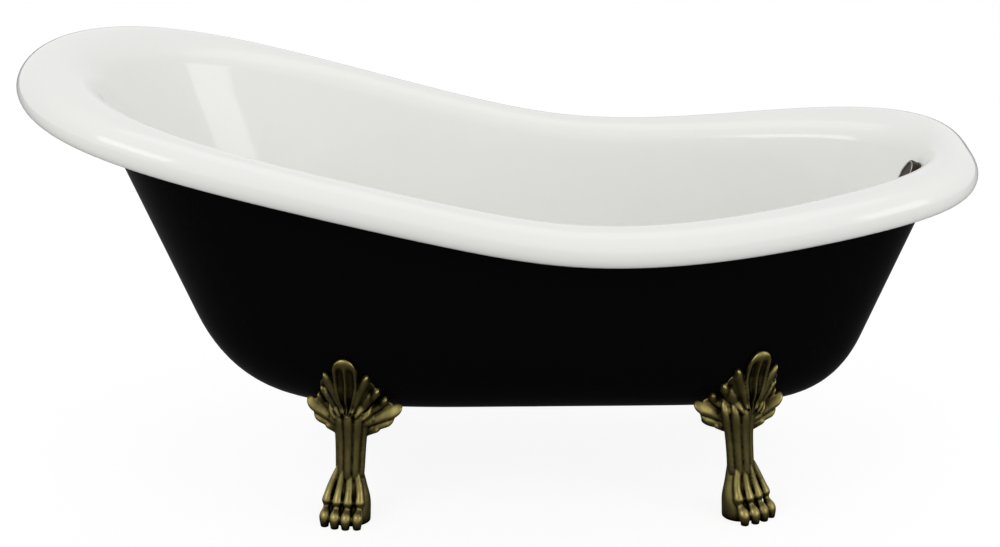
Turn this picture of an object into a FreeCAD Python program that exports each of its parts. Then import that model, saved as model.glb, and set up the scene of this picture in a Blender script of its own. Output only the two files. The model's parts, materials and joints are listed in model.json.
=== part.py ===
import FreeCAD, Part
import Mesh
import math
import os

V = FreeCAD.Vector
os.makedirs("parts", exist_ok=True)

# ---------------------------------------------------------------- driving dimensions, mm
# Frame: X runs from the high head end (-X) to the low foot end (+X), Z is up, and the
# origin lies on the floor under the middle of the tub.

# rolled rim
LENGTH = 1700.0
WIDTH = 760.0
ROLL_HALF_WIDTH = 43.6
ROLL_HALF_HEIGHT = 34.9
RIM_TAPER = -0.126            # share by which the plan widens towards the head end
LOW_RIM = 553.0               # height of the roll's centre at its lowest
HEAD_RISE = 218.0
FOOT_RISE = 55.0
WAIST = 139.0                 # widest station, towards the head from mid length

# walls and floors
BASIN_WALL = 6.0
SKIRT_WALL = 5.0
BOARD_THICKNESS = 18.0
UNDERSIDE = 172.0             # height of the skirt's flat underside above the floor
SEAT_GAP = 0.3                # bond line between the skirt's edge and the roll

# where the skirt meets the roll, measured in from the roll's centre
SKIRT_INSET_HEAD = 82.0
SKIRT_INSET_FOOT = 20.0
SKIRT_INSET_SIDE = 26.6
LIP_REACH = 7.3               # the roll's lip runs on past the skirt's face
LIP_DROP = 24.0

# outer hull: where its straight flanks would meet its flat underside
HULL_HEAD = 486.5
HULL_FOOT = 615.0
HULL_SIDE = 228.4
HULL_ROUND_HEAD = 186.0
HULL_ROUND_FOOT = 125.5
HULL_ROUND_SIDE = 178.0

# inside of the basin, the same way
INSIDE_INSET_HEAD = 100.0
INSIDE_INSET_FOOT = 47.0
INSIDE_INSET_SIDE = 43.6
INSIDE_DROP_HEAD = 25.0
INSIDE_DROP_FOOT = 14.0
INSIDE_HEAD = 455.0
INSIDE_FOOT = 560.0
INSIDE_SIDE = 208.0
INSIDE_ROUND_HEAD = 165.0
INSIDE_ROUND_FOOT = 85.0
INSIDE_ROUND_SIDE = 150.0

# claw feet; a foot stands with its neck on the hull, splayed towards its own end of the tub
FOOT_HEAD_X = -267.0
FOOT_END_X = 422.0
FOOT_HEAD_SPLAY = 14.0
FOOT_END_SPLAY = 33.0
NECK_HEIGHT = 228.0           # height at which the hull passes the neck
HULL_CLEARANCE = 0.3
ANKLE_HEIGHT = 88.0
ANKLE_FORWARD = 13.0
PAW_FORWARD = 30.0
SHAFT_RADIUS = 21.0
FLUTE_RADIUS = 7.5
FLUTE_PITCH = 38.0            # degrees between the ribs of the fluted shaft
PAW_RADIUS = 37.0
TOE_PITCH = 21.5
TOE_RADIUS = 11.0
KNUCKLE_HEIGHT = 46.0
LEAF_TOP = 335.0
LEAF_HALF_WIDTH = 25.0
LEAF_RELIEF = 11.0            # how far a leaf's ridge stands off the hull
LEAF_EDGE = 5.0

# foot fastening
LUG_THICKNESS = 11.0
LUG_HALF_WIDTH = 22.0
LUG_REACH = 62.0              # how far the lug runs in under the tub from the neck
BOLT_SETBACK = 43.0
BOLT_RADIUS = 5.0
BOLT_FIT = 0.05
HOLE_SLACK = 0.5              # clearance hole round a bolt
BOLT_HEAD_ACROSS = 17.0
BOLT_HEAD_HEIGHT = 6.5
BOLT_GRIP = 13.0              # length of the bolt's shank beyond the hull's outer face
WASHER_RADIUS = 11.0
WASHER_THICKNESS = 2.0
BLOCK_LENGTH = 80.0
BLOCK_WIDTH = 60.0

# base board between the floors
BOARD_HEAD_X = -272.0
BOARD_FOOT_X = 365.0
BOARD_HALF_WIDTH = 46.0

# drain
DRAIN_X = 430.0
NECK_RADIUS = 24.0
NECK_BORE = 21.0
NECK_DROP = 38.0
FLOOR_HOLE_SLACK = 1.0
THREAD_FIT = 0.3
FLANGE_RADIUS = 35.0
FLANGE_THICKNESS = 3.5
GASKET_THICKNESS = 2.0
LOCKNUT_RADIUS = 34.0
LOCKNUT_HEIGHT = 10.0
BODY_RADIUS = 29.0
TAIL_RADIUS = 23.9
TAIL_BORE = 19.0
TAIL_BOTTOM = 112.0
TAIL_LENGTH = 22.0
BRANCH_HEIGHT = 160.0
BRANCH_REACH = 56.0
GUIDE_HUB = 8.0
GUIDE_HEIGHT = 6.0
STEM_RADIUS = 4.0
STEM_FIT = 0.05
STEM_LENGTH = 58.0
PLUG_RADIUS = 28.0
SEAL_CLEARANCE = 0.6
SEAT_BOTTOM = 1.2               # heights above the basin's floor
SEAL_BOTTOM = 1.6
SEAL_TOP = 3.2
SLOT_HALF_WIDTH = 42.0
SLOT_HEAD_X = 372.0
SLOT_FOOT_X = 580.0

# overflow
OVERFLOW_HEIGHT = 566.0
COLLAR_RADIUS = 34.0
COLLAR_THICKNESS = 4.5
COLLAR_CLEARANCE = 0.2
COLLAR_NECK_RADIUS = 20.0
KNOB_RADIUS = 32.5
KNOB_THICKNESS = 12.0
KNOB_GAP = 0.5
RING_RADIUS = 29.5
RING_WIDTH = 1.8
RING_HEIGHT = 1.0
SHAFT_LENGTH = 17.0
ELBOW_RADIUS = 25.0
ELBOW_DEPTH = 14.0
ELBOW_WALL = 2.5
ELBOW_DROP = 62.0
PIPE_RADIUS = 10.5
PIPE_WALL = 2.0
PIPE_BEND = 60.0
BEND_STEP = 12.0              # degrees of a bend taken by one straight piece
NUT_WALL = 1.3
NUT_LENGTH = 16.0

STATIONS = 44                 # profiles round the tub
ROUNDING_PIECES = 4           # flats along the rounding between flank and bottom
PIPE_SIDES = 12
BOLT_SIDES = 8
SIDES = 20                    # flats round a small turned piece
TURN_LENGTH = 300.0           # a turn of one radian counts as this much length in their spacing

# ---------------------------------------------------------------- plan ovals
RIM_HEAD = LENGTH / 2 - ROLL_HALF_WIDTH
RIM_SIDE = WIDTH / 2 - ROLL_HALF_WIDTH
RIM_FULLNESS = (3.98, 2.09, 4.5, 3.17)
SEAT_FULLNESS = (3.17, 2.06, 3.3, 2.12)
HULL_FULLNESS = (3.22, 2.54, 3.26, 2.69)
FLOOR_TOP = UNDERSIDE + SKIRT_WALL + BOARD_THICKNESS + BASIN_WALL


def signed_power(value, exponent):
    return math.copysign(abs(value) ** exponent, value)


def oval(angle, head, foot, side, waist, fullness, taper):
    """Point of an egg-shaped oval. The head end reaches x = -head and the foot end x = foot."""
    across = math.cos(angle)
    if across < 0:
        x = waist - (head + waist) * abs(across) ** (2 / fullness[0])
        bend = 2 / fullness[1]
    else:
        x = waist + (foot - waist) * across ** (2 / fullness[2])
        bend = 2 / fullness[3]
    widening = 1 + taper * (x - waist) / RIM_HEAD
    return V(x, side * signed_power(math.sin(angle), bend) * widening, 0)


def rim_plan(angle):
    return oval(angle, RIM_HEAD, RIM_HEAD, RIM_SIDE, -WAIST, RIM_FULLNESS, RIM_TAPER)


def inset_plan(angle, head, foot, side):
    return oval(angle, RIM_HEAD - head, RIM_HEAD - foot, RIM_SIDE - side, -WAIST,
                SEAT_FULLNESS, RIM_TAPER)


def seat_plan(angle):
    return inset_plan(angle, SKIRT_INSET_HEAD, SKIRT_INSET_FOOT, SKIRT_INSET_SIDE)


# sheer line of the rim: share of the half length, and height of the roll's centre
SHEER = ((-1.0, LOW_RIM + HEAD_RISE), (-0.714, LOW_RIM + 0.78 * HEAD_RISE),
         (-0.429, LOW_RIM + 0.511 * HEAD_RISE), (-0.143, LOW_RIM + 0.235 * HEAD_RISE),
         (0.143, LOW_RIM + 0.027 * HEAD_RISE), (0.429, LOW_RIM + 0.09 * FOOT_RISE),
         (0.714, LOW_RIM + 0.57 * FOOT_RISE), (1.0, LOW_RIM + FOOT_RISE))
sheer_line = Part.BSplineCurve()
sheer_line.interpolate(Points=[V(share * RIM_HEAD, 0, height) for share, height in SHEER],
                       Parameters=[share * RIM_HEAD for share, height in SHEER])


def rim_height(x):
    return sheer_line.value(min(max(x, -RIM_HEAD), RIM_HEAD)).z


def even_angles(plan, count):
    """Angles of count points round the plan, closer together where it turns."""
    fine = 6000
    half = [math.pi * k / fine for k in range(fine + 1)]
    points = [plan(angle) for angle in half]
    steps = [after - before for before, after in zip(points, points[1:])]
    reach = [0.0, steps[0].Length]
    for before, after in zip(steps, steps[1:]):
        reach.append(reach[-1] + after.Length + TURN_LENGTH * before.getAngle(after))
    angles = []
    k = 0
    for step in range(count // 2 + 1):
        target = reach[-1] * step / (count // 2)
        while k < fine - 1 and reach[k + 1] < target:
            k += 1
        share = (target - reach[k]) / (reach[k + 1] - reach[k])
        angles.append(half[k] + share * (half[k + 1] - half[k]))
    return angles + [2 * math.pi - angle for angle in reversed(angles[1:-1])]


def nearest_on_rim(point, guess):
    """Angle of the rim's centre line nearest to a plan point."""
    side = 1 if guess <= math.pi else -1
    middle = guess if side > 0 else 2 * math.pi - guess
    target = V(point.x, abs(point.y), 0)
    fine = 400
    span = (0.0, math.pi)
    for narrowing in range(4):
        step = (span[1] - span[0]) / fine
        grid = [span[0] + step * k for k in range(fine + 1)]
        middle = min(grid, key=lambda angle: rim_plan(angle).distanceToPoint(target))
        span = (max(0.0, middle - 2 * step), min(math.pi, middle + 2 * step))
    return middle if side > 0 else 2 * math.pi - middle


class Station:
    """One upright profile of the tub. It stands square to the rim."""

    def __init__(self, angle):
        self.angle = angle
        seat = seat_plan(angle)
        rim_angle = nearest_on_rim(seat, angle)
        plan = rim_plan(rim_angle)
        self.rim = V(plan.x, plan.y, rim_height(plan.x))
        self.inset = plan.distanceToPoint(seat)
        self.out = (plan - seat).normalize()
        along = V(-self.out.y, self.out.x, 0)
        step = 4.0
        rise = rim_height(plan.x + along.x * step) - rim_height(plan.x - along.x * step)
        along.z = rise / (2 * step)
        self.up = self.out.cross(along.normalize())
        toward_head = max(-math.cos(angle), 0) ** 2
        toward_foot = max(math.cos(angle), 0) ** 2
        self.shares = (toward_head, toward_foot, math.sin(angle) ** 2)

    def blend(self, head, foot, side):
        return sum(value * share for value, share in zip((head, foot, side), self.shares))

    def roll(self, turn, grow=0.0):
        """Point of the roll's section, turn in degrees from its outermost point."""
        turn = math.radians(turn)
        wide = (ROLL_HALF_WIDTH + grow) * math.cos(turn)
        high = (ROLL_HALF_HEIGHT + grow) * math.sin(turn)
        return self.rim + self.out * wide + self.up * high

    def underside(self, share):
        """Point of the roll's underside, from its lowest point (0) to the lip's edge (1)."""
        reach = self.inset + LIP_REACH
        start = self.roll(-90)
        end = self.rim - self.out * reach - self.up * LIP_DROP
        middle = start - self.out * (reach / 2)
        return start * (1 - share) ** 2 + middle * (2 * share * (1 - share)) + end * share ** 2

    def skirt_top(self, depth):
        share = (self.inset + depth) / (self.inset + LIP_REACH)
        return self.underside(share) - self.up * SEAT_GAP


STATION_LIST = [Station(angle) for angle in even_angles(seat_plan, STATIONS)]


# ---------------------------------------------------------------- shapes from rings of points
QUARTER = 0.5523              # handle of a cubic that follows a quarter of an ellipse
FLAT_ENOUGH = 1e-6


def bezier(poles, pieces):
    """Points that cut a Bezier curve into equal shares of its parameter, its start left out."""
    curve = Part.BezierCurve()
    curve.setPoles(poles)
    return [curve.value(step / pieces) for step in range(1, pieces + 1)]


def facet(*corners):
    return Part.Face(Part.makePolygon(list(corners) + [corners[0]]))


def off_plane(corners):
    """How far the corners lie from the plane of the first three."""
    normal = (corners[1] - corners[0]).cross(corners[2] - corners[0])
    if normal.Length < FLAT_ENOUGH:
        return FLAT_ENOUGH
    normal.normalize()
    return max(abs((corner - corners[0]).dot(normal)) for corner in corners)


def cap(ring):
    """End of a solid: one flat face, or a fan of facets where the ring isn't flat."""
    if off_plane(ring) < FLAT_ENOUGH:
        return [facet(*ring)]
    return [facet(ring[0], ring[k], ring[k + 1]) for k in range(1, len(ring) - 1)]


def skin_solid(rings, endless=False):
    """Solid between two flat end rings, or right round. All rings have as many points."""
    faces = [] if endless else cap(rings[0]) + cap(rings[-1])
    strips = list(zip(rings, rings[1:]))
    if endless:
        strips.append((rings[-1], rings[0]))
    for lower, upper in strips:
        for k in range(len(lower)):
            a, b = lower[k - 1], lower[k]
            c, d = upper[k], upper[k - 1]
            if a.isEqual(d, FLAT_ENOUGH) and b.isEqual(c, FLAT_ENOUGH):
                continue
            if a.isEqual(d, FLAT_ENOUGH):
                faces.append(facet(a, b, c))
                continue
            if b.isEqual(c, FLAT_ENOUGH):
                faces.append(facet(a, b, d))
                continue
            if off_plane((a, b, d, c)) < FLAT_ENOUGH:
                faces.append(facet(a, b, c, d))
            elif a.distanceToPoint(c) <= b.distanceToPoint(d):
                faces += [facet(a, b, c), facet(a, c, d)]
            else:
                faces += [facet(a, b, d), facet(b, c, d)]
    skin = Part.makeCompound(faces)
    skin.sewShape(0.001)
    shell = Part.Shell(skin.Faces)
    solid = Part.makeSolid(shell)
    if solid.Volume < 0:
        shell.reverse()
        solid = Part.makeSolid(shell)
    return solid


def rings_of(columns):
    return [list(ring) for ring in zip(*columns)]


def spokes(axis, sides):
    """Directions square to an axis, evenly round it."""
    across = axis.cross(V(0, 1, 0)).normalize()
    along = axis.cross(across)
    turns = [2 * math.pi * (k + 0.5) / sides for k in range(sides)]
    return [across * math.cos(turn) + along * math.sin(turn) for turn in turns]


def turned(profile, centre, axis, sides=SIDES):
    """Piece turned about an axis in flats; its profile is (radius, height) points."""
    axis = V(axis).normalize()
    rings = [[centre + out * radius + axis * height for radius, height in profile]
             for out in spokes(axis, sides)]
    return skin_solid(rings, True)


def ring_at(centre, axis, wide, high, sides):
    """Oval ring square to an axis; wide is its half size along Y."""
    across = axis.cross(V(0, 1, 0)).normalize()
    ring = []
    for out in spokes(axis, sides):
        ring.append(centre + V(0, 1, 0) * (wide * out.y) + across * (high * out.dot(across)))
    return ring


def prism(radius, low, high, centre, axis, sides=SIDES):
    """Flat-sided bar; its flats stand at the radius."""
    axis = V(axis).normalize()
    reach = radius / math.cos(math.pi / sides)
    base = facet(*[centre + axis * low + out * reach for out in spokes(axis, sides)])
    return base.extrude(axis * (high - low))


def tapered(levels, centre, axis, sides=SIDES):
    """Flat-sided bar that changes its radius; its levels are (radius, height)."""
    axis = V(axis).normalize()
    return skin_solid([[centre + out * radius + axis * height for out in spokes(axis, sides)]
                       for radius, height in levels])


def washer(inner, outer, low, high, centre, axis, sides=SIDES):
    return prism(outer, low, high, centre, axis, sides).cut(prism(inner, low, high, centre, axis, sides))


def rod(radius, low, high, centre, axis):
    axis = V(axis).normalize()
    return Part.makeCylinder(radius, high - low, centre + axis * low, axis)


def box_between(low, high):
    return Part.makeBox(high.x - low.x, high.y - low.y, high.z - low.z, low)


def fused(shapes):
    whole = shapes[0].fuse(shapes[1:]) if len(shapes) > 1 else shapes[0]
    whole = whole.removeSplitter()
    return whole.Solids[0] if len(whole.Solids) == 1 else whole


# ---------------------------------------------------------------- tub profiles
def corner_plan(angle, head, foot, side):
    middle = (foot - head) / 2
    half = (foot + head) / 2
    return oval(angle, half - middle, half + middle, side, middle, HULL_FULLNESS, 0.0)


class Flank:
    """One station's wall: a straight flank, a rounding and the start of the flat bottom."""

    def __init__(self, top, corner, centre_x, leg):
        inner = V(centre_x + 0.6 * (corner.x - centre_x), 0, corner.z)
        self.rise = (top - corner).normalize()
        inward = (inner - corner).normalize()
        self.top = top
        self.corner = corner
        self.start = corner + self.rise * leg
        self.end = corner + inward * min(leg, 0.98 * corner.distanceToPoint(inner))
        self.top_out = None
        self.corner_out = None

    def offset(self, distance):
        """The same wall moved square to its surface; a positive distance moves it outwards."""
        down = V(0, 0, -1)
        moved = Flank.__new__(Flank)
        moved.rise, moved.top_out, moved.corner_out = self.rise, self.top_out, self.corner_out
        moved.top = self.top + self.top_out * distance
        moved.start = self.start + self.corner_out * distance
        moved.end = self.end + down * distance
        mitre = distance / (1 + self.corner_out.dot(down))
        moved.corner = self.corner + (self.corner_out + down) * mitre
        return moved

    def rounding(self, pieces):
        """Points from the bottom's edge round to the start of the straight flank."""
        return [self.end] + bezier([self.end, self.corner, self.start], pieces)


def square_up(flanks):
    """Give each flank the directions square to the wall, from its neighbours round the tub."""
    for before, flank, after in zip(flanks[-1:] + flanks[:-1], flanks, flanks[1:] + flanks[:1]):
        flank.top_out = (after.top - before.top).cross(flank.rise).normalize()
        flank.corner_out = (after.corner - before.corner).cross(flank.rise).normalize()
    return flanks


def hull_flank(station):
    corner = corner_plan(station.angle, HULL_HEAD, HULL_FOOT, HULL_SIDE)
    corner.z = UNDERSIDE
    leg = station.blend(HULL_ROUND_HEAD, HULL_ROUND_FOOT, HULL_ROUND_SIDE)
    return Flank(station.skirt_top(0), corner, (HULL_FOOT - HULL_HEAD) / 2, leg)


def inside_flank(station):
    corner = corner_plan(station.angle, INSIDE_HEAD, INSIDE_FOOT, INSIDE_SIDE)
    corner.z = FLOOR_TOP
    top = inset_plan(station.angle, INSIDE_INSET_HEAD, INSIDE_INSET_FOOT, INSIDE_INSET_SIDE)
    top.z = station.rim.z - station.blend(INSIDE_DROP_HEAD, INSIDE_DROP_FOOT, 0.0)
    leg = station.blend(INSIDE_ROUND_HEAD, INSIDE_ROUND_FOOT, INSIDE_ROUND_SIDE)
    return Flank(top, corner, (INSIDE_FOOT - INSIDE_HEAD) / 2, leg)


HULL = square_up([hull_flank(station) for station in STATION_LIST])
INSIDE = square_up([inside_flank(station) for station in STATION_LIST])


def shoulder(station, flank, shrink):
    """Poles from the top of the inside flank up and over to the crest of the roll."""
    crest = station.roll(90, -shrink)
    reach = (crest - flank.top).dot(station.out)
    fall = crest.z - flank.top.z
    return [flank.top, flank.top + flank.rise * (QUARTER * fall),
            crest - station.out * (QUARTER * reach), crest]


def underside_poles(station, lift):
    reach = station.inset + LIP_REACH
    start = station.roll(-90, -lift)
    return [start, start - station.out * (reach / 2), station.underside(1) + station.up * lift]


def basin_side(station, flank, shrink, pieces):
    """Points from the floor's edge up the wall, over the roll and back under to its lip."""
    flank = flank.offset(shrink)
    rounding, shoulder_pieces, roll_pieces, under_pieces = pieces
    points = flank.rounding(rounding) + [flank.top]
    points += bezier(shoulder(station, flank, shrink), shoulder_pieces)
    points += [station.roll(90 - 180 * k / roll_pieces, -shrink) for k in range(1, roll_pieces + 1)]
    return points + bezier(underside_poles(station, shrink), under_pieces)


def make_inner_basin():
    columns = []
    for station, flank in zip(STATION_LIST, INSIDE):
        seen = basin_side(station, flank, 0.0, (4, 3, 8, 1))
        hidden = basin_side(station, flank, BASIN_WALL, (4, 2, 4, 1))
        columns.append(seen + hidden[::-1])
    return skin_solid(rings_of(columns))


def make_outer_skirt():
    columns = []
    for station, flank in zip(STATION_LIST, HULL):
        seen = flank.rounding(ROUNDING_PIECES) + [flank.top]
        hidden = flank.offset(-SKIRT_WALL).rounding(ROUNDING_PIECES) + [station.skirt_top(SKIRT_WALL)]
        columns.append(seen + hidden[::-1])
    return skin_solid(rings_of(columns))


def wall_rings(flanks, grow):
    """Rings of a wall moved outwards by grow, carried straight up past the rim."""
    columns = []
    for flank in flanks:
        moved = flank.offset(grow)
        above = V(moved.top.x, moved.top.y, LOW_RIM + HEAD_RISE + 2 * ROLL_HALF_HEIGHT)
        columns.append(moved.rounding(ROUNDING_PIECES) + [moved.top, above])
    return rings_of(columns)


def filled(flanks, grow):
    return skin_solid(wall_rings(flanks, grow))


def save(name, shape):
    if not shape.isValid():
        print("not valid:", name)
    print(name, len(shape.Solids), "solids", round(shape.Volume / 1000.0, 2), "cm3")
    shape.exportStep("parts/" + name + ".step")


# ---------------------------------------------------------------- claw feet
def hull_mesh():
    """The hull's outer face as a mesh, to find where lines leave it."""
    rings = wall_rings(HULL, 0)
    facets = []
    for lower, upper in zip(rings, rings[1:]):
        for k in range(len(lower)):
            facets.append([lower[k - 1], lower[k], upper[k]])
            facets.append([lower[k - 1], upper[k], upper[k - 1]])
    return Mesh.Mesh(facets)


HULL_MESH = hull_mesh()


def hull_hit(inside, direction):
    """Where a line from inside the hull leaves it."""
    hits = [V(*hit) for hit in HULL_MESH.foraminate(inside, direction).values()]
    return max(hits, key=lambda hit: (hit - inside).dot(direction))


class Foot:
    """Local frame of one front foot: side, forward and up from the floor below its neck."""

    def __init__(self, x, splay, inner_side):
        turn = math.radians(splay)
        self.forward = V(math.sin(turn), -math.cos(turn), 0)
        self.side = V(math.cos(turn), math.sin(turn), 0)
        self.inner_side = inner_side
        neck = hull_hit(V(x, 0, NECK_HEIGHT), V(0, -1, 0))
        self.origin = V(x, neck.y, 0)

    def place(self, side, forward, height):
        return (self.origin + self.side * (side * self.inner_side) + self.forward * forward
                + V(0, 0, height))

    def on_hull(self, side, height, lift=0.0):
        """Point on the hull straight behind a place of the leaf, lifted off along the hull's tilt."""
        inside = self.place(side, -90.0, height)
        hit = hull_hit(inside, self.forward)
        above = hull_hit(inside + V(0, 0, 4.0), self.forward)
        lean = (above - hit).dot(self.forward) / 4.0
        outward = (self.forward - V(0, 0, lean)).normalize()
        return hit + outward * lift


def leaf_petal(foot, base, tip, half_width, boldness):
    """A pointed, ridged lobe of the leaf. base and tip are (side, height) on the hull."""
    edge = LEAF_EDGE * boldness
    relief = LEAF_RELIEF * boldness
    run = V(tip[0] - base[0], tip[1] - base[1], 0)
    across = V(-run.y, run.x, 0).normalize()
    rings = []
    for share, fullness in ((0.0, 0.62), (0.45, 1.0), (0.8, 0.62), (1.0, 0.1)):
        middle = V(base[0], base[1], 0) + run * share
        ring = []
        left = middle + across * (half_width * fullness)
        right = middle - across * (half_width * fullness)
        ridge = edge + (relief - edge) * (0.35 + 0.65 * fullness)
        ring.append(foot.on_hull(left.x, left.y, edge))
        ring.append(foot.on_hull(middle.x, middle.y, ridge))
        ring.append(foot.on_hull(right.x, right.y, edge))
        ring.append(foot.on_hull(middle.x, middle.y, -LEAF_EDGE))
        rings.append(ring)
    return skin_solid(rings)


def round_ring(foot, forward, height, radius, count, flat=1.0):
    """Level ring of the leg; flat scales it from side to side."""
    ring = []
    for k in range(count):
        turn = 2 * math.pi * k / count
        ring.append(foot.place(radius * flat * math.cos(turn), forward + radius * math.sin(turn),
                               height))
    return ring


def make_leg(foot):
    """Core from the paw's sole up to the neck: forward, height, radius and width of each ring."""
    sole = PAW_FORWARD + 2.0
    levels = ((sole, 0.0, PAW_RADIUS - 1.0, 1.08), (sole, 14.0, PAW_RADIUS, 1.1),
              (PAW_FORWARD - 3.0, KNUCKLE_HEIGHT - 8.0, PAW_RADIUS - 4.0, 1.1),
              (PAW_FORWARD - 9.0, KNUCKLE_HEIGHT + 15.0, SHAFT_RADIUS + 7.0, 1.1),
              (ANKLE_FORWARD, ANKLE_HEIGHT - 6.0, SHAFT_RADIUS + 1.0, 1.0),
              (ANKLE_FORWARD - 2.0, ANKLE_HEIGHT + 8.0, SHAFT_RADIUS - 1.5, 1.0),
              (3.0, 165.0, SHAFT_RADIUS + 1.0, 1.0), (0.0, 200.0, SHAFT_RADIUS + 3.5, 1.1),
              (0.0, NECK_HEIGHT + 24.0, SHAFT_RADIUS + 3.5, 1.2))
    return skin_solid([round_ring(foot, f, z, r, 10, wide) for f, z, r, wide in levels])


def make_flute(foot, turn):
    """One rib of the fluted shaft."""
    turn = math.radians(turn)
    rings = []
    for forward, height, radius in ((ANKLE_FORWARD - 1.0, ANKLE_HEIGHT - 2.0, 0.75),
                                    (3.0, 165.0, 1.0), (0.0, 207.0, 1.1)):
        size = FLUTE_RADIUS * radius
        reach = SHAFT_RADIUS - 2.0 + 3.0 * (radius - 0.75)
        ring = []
        for k in range(5):
            around = 2 * math.pi * (k + 0.5) / 5
            ring.append(foot.place(reach * math.sin(turn) + size * math.cos(around),
                                   forward + reach * math.cos(turn) + size * math.sin(around), height))
        rings.append(ring)
    return skin_solid(rings)


def make_toe(foot, number):
    """A toe from the instep over its knuckle down to the claw; number runs -1.5 to 1.5."""
    spread = number * TOE_PITCH
    short = 5.0 * abs(number) - 2.5
    path = ((ANKLE_FORWARD + 2.0, ANKLE_HEIGHT - 8.0, 0.62, 0.5),
            (PAW_FORWARD + 15.0, KNUCKLE_HEIGHT + 2.0, 1.06, 1.0),
            (PAW_FORWARD + 24.0, KNUCKLE_HEIGHT - 13.0, 0.84, 1.0),
            (PAW_FORWARD + 34.0, 22.0, 1.04, 1.0), (PAW_FORWARD + 43.0, 11.0, 0.72, 1.0),
            (PAW_FORWARD + 46.0, 3.0, 0.3, 1.0))
    rings = []
    for k, (forward, height, size, fan) in enumerate(path):
        before = path[max(k - 1, 0)]
        after = path[min(k + 1, len(path) - 1)]
        run = V(after[0] - before[0], after[1] - before[1], 0).normalize()
        ring = []
        for j in range(6):
            turn = 2 * math.pi * (j + 0.5) / 6
            lift = TOE_RADIUS * size * math.sin(turn)
            ring.append(foot.place(spread * fan + TOE_RADIUS * size * math.cos(turn),
                                   forward - short * fan - run.y * lift, height + run.x * lift))
        rings.append(ring)
    return skin_solid(rings)


# base and tip as (side, height), half width, and boldness, which scales how far a lobe stands
# off the hull; no two are alike, so that each lobe overlaps the next
LEAF_PETALS = (
    ((0.0, 214.0), (0.0, LEAF_TOP), LEAF_HALF_WIDTH, 1.0),
    ((8.0, 232.0), (38.0, 303.0), 15.0, 0.84), ((-8.0, 232.0), (-37.0, 303.0), 15.0, 0.8),
    ((12.0, 222.0), (58.0, 274.0), 16.0, 0.78), ((-12.0, 222.0), (-52.0, 274.0), 15.0, 0.74),
    ((14.0, 216.0), (96.0, 238.0), 16.0, 0.72), ((-14.0, 216.0), (-72.0, 238.0), 15.0, 0.68),
    ((10.0, 212.0), (62.0, 214.0), 12.0, 0.65), ((-10.0, 212.0), (-58.0, 214.0), 12.0, 0.62))


def bolt_axis(foot):
    """Point of the hull's face on the bolt's axis, and the axis into the tub."""
    lean = 8.0
    hit = [hull_hit(foot.place(side, forward - BOLT_SETBACK, UNDERSIDE + BOLT_SETBACK * 2), V(0, 0, -1))
           for side, forward in ((0, 0), (lean, 0), (0, lean))]
    axis = (hit[1] - hit[0]).cross(hit[2] - hit[0]).normalize()
    return hit[0], axis if axis.z > 0 else -axis


def make_foot(foot, seat, axis, clear_hull):
    pieces = [make_leg(foot)]
    pieces += [make_flute(foot, turn * FLUTE_PITCH) for turn in range(-2, 3)]
    pieces += [make_toe(foot, number) for number in (-1.5, -0.5, 0.5, 1.5)]
    pieces += [leaf_petal(foot, base, tip, half_width, boldness)
               for base, tip, half_width, boldness in LEAF_PETALS]
    pieces.append(make_lug(foot, seat, axis))
    whole = fused(pieces).cut(clear_hull)
    floor = box_between(V(-LENGTH, -WIDTH, -100.0), V(LENGTH, WIDTH, 0.0))
    whole = whole.cut(floor)
    whole = whole.cut(prism(BOLT_RADIUS + HOLE_SLACK, -2 * LUG_THICKNESS, LUG_THICKNESS, seat, axis,
                            BOLT_SIDES))
    return whole.Solids[0] if len(whole.Solids) == 1 else whole


def make_lug(foot, seat, axis):
    """Plate from the neck in under the hull, as a slab square to the bolt."""
    along = (foot.forward - axis * foot.forward.dot(axis)).normalize()
    across = axis.cross(along)
    corners = []
    for reach, wide in ((-(LUG_REACH - BOLT_SETBACK), -1), (BOLT_SETBACK, -1), (BOLT_SETBACK, 1),
                        (-(LUG_REACH - BOLT_SETBACK), 1)):
        corners.append(seat - axis * LUG_THICKNESS + along * reach + across * (wide * LUG_HALF_WIDTH))
    return facet(*corners).extrude(axis * (2 * LUG_THICKNESS))


def hex_bolt(seat, axis):
    """Bolt whose head bears on the washer below the lug."""
    low = -LUG_THICKNESS - WASHER_THICKNESS
    head = turned([(0, low - BOLT_HEAD_HEIGHT), (BOLT_HEAD_ACROSS / math.sqrt(3), low - BOLT_HEAD_HEIGHT),
                   (BOLT_HEAD_ACROSS / math.sqrt(3), low), (0, low)], seat, axis, 6)
    return head.fuse(prism(BOLT_RADIUS, low, BOLT_GRIP, seat, axis, BOLT_SIDES)).removeSplitter()


def make_block(foot, seat, axis, cavity):
    """Timber block between the skins that the foot's bolt screws into."""
    across = axis.cross(foot.forward).normalize()
    along = across.cross(axis)
    corners = [seat - axis * 30.0 + along * (u * BLOCK_WIDTH / 2) + across * (v * BLOCK_LENGTH / 2)
               for u, v in ((-1, -1), (1, -1), (1, 1), (-1, 1))]
    slab = facet(*corners).extrude(axis * 90.0)
    block = slab.common(cavity)
    return block.cut(prism(BOLT_RADIUS + BOLT_FIT, -30.0, BOLT_GRIP + 1.0, seat, axis, BOLT_SIDES))


def mirrored(shape):
    return shape.mirror(V(0, 0, 0), V(0, 1, 0))


def make_cavity():
    """Space between the skins, less the glue gap on both."""
    low = box_between(V(-LENGTH, -WIDTH, 0), V(LENGTH, 0, LOW_RIM - 2 * ROLL_HALF_HEIGHT))
    outer = filled(HULL, -SKIRT_WALL - SEAT_GAP).common(low)
    return outer.cut(filled(INSIDE, BASIN_WALL + SEAT_GAP))


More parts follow.
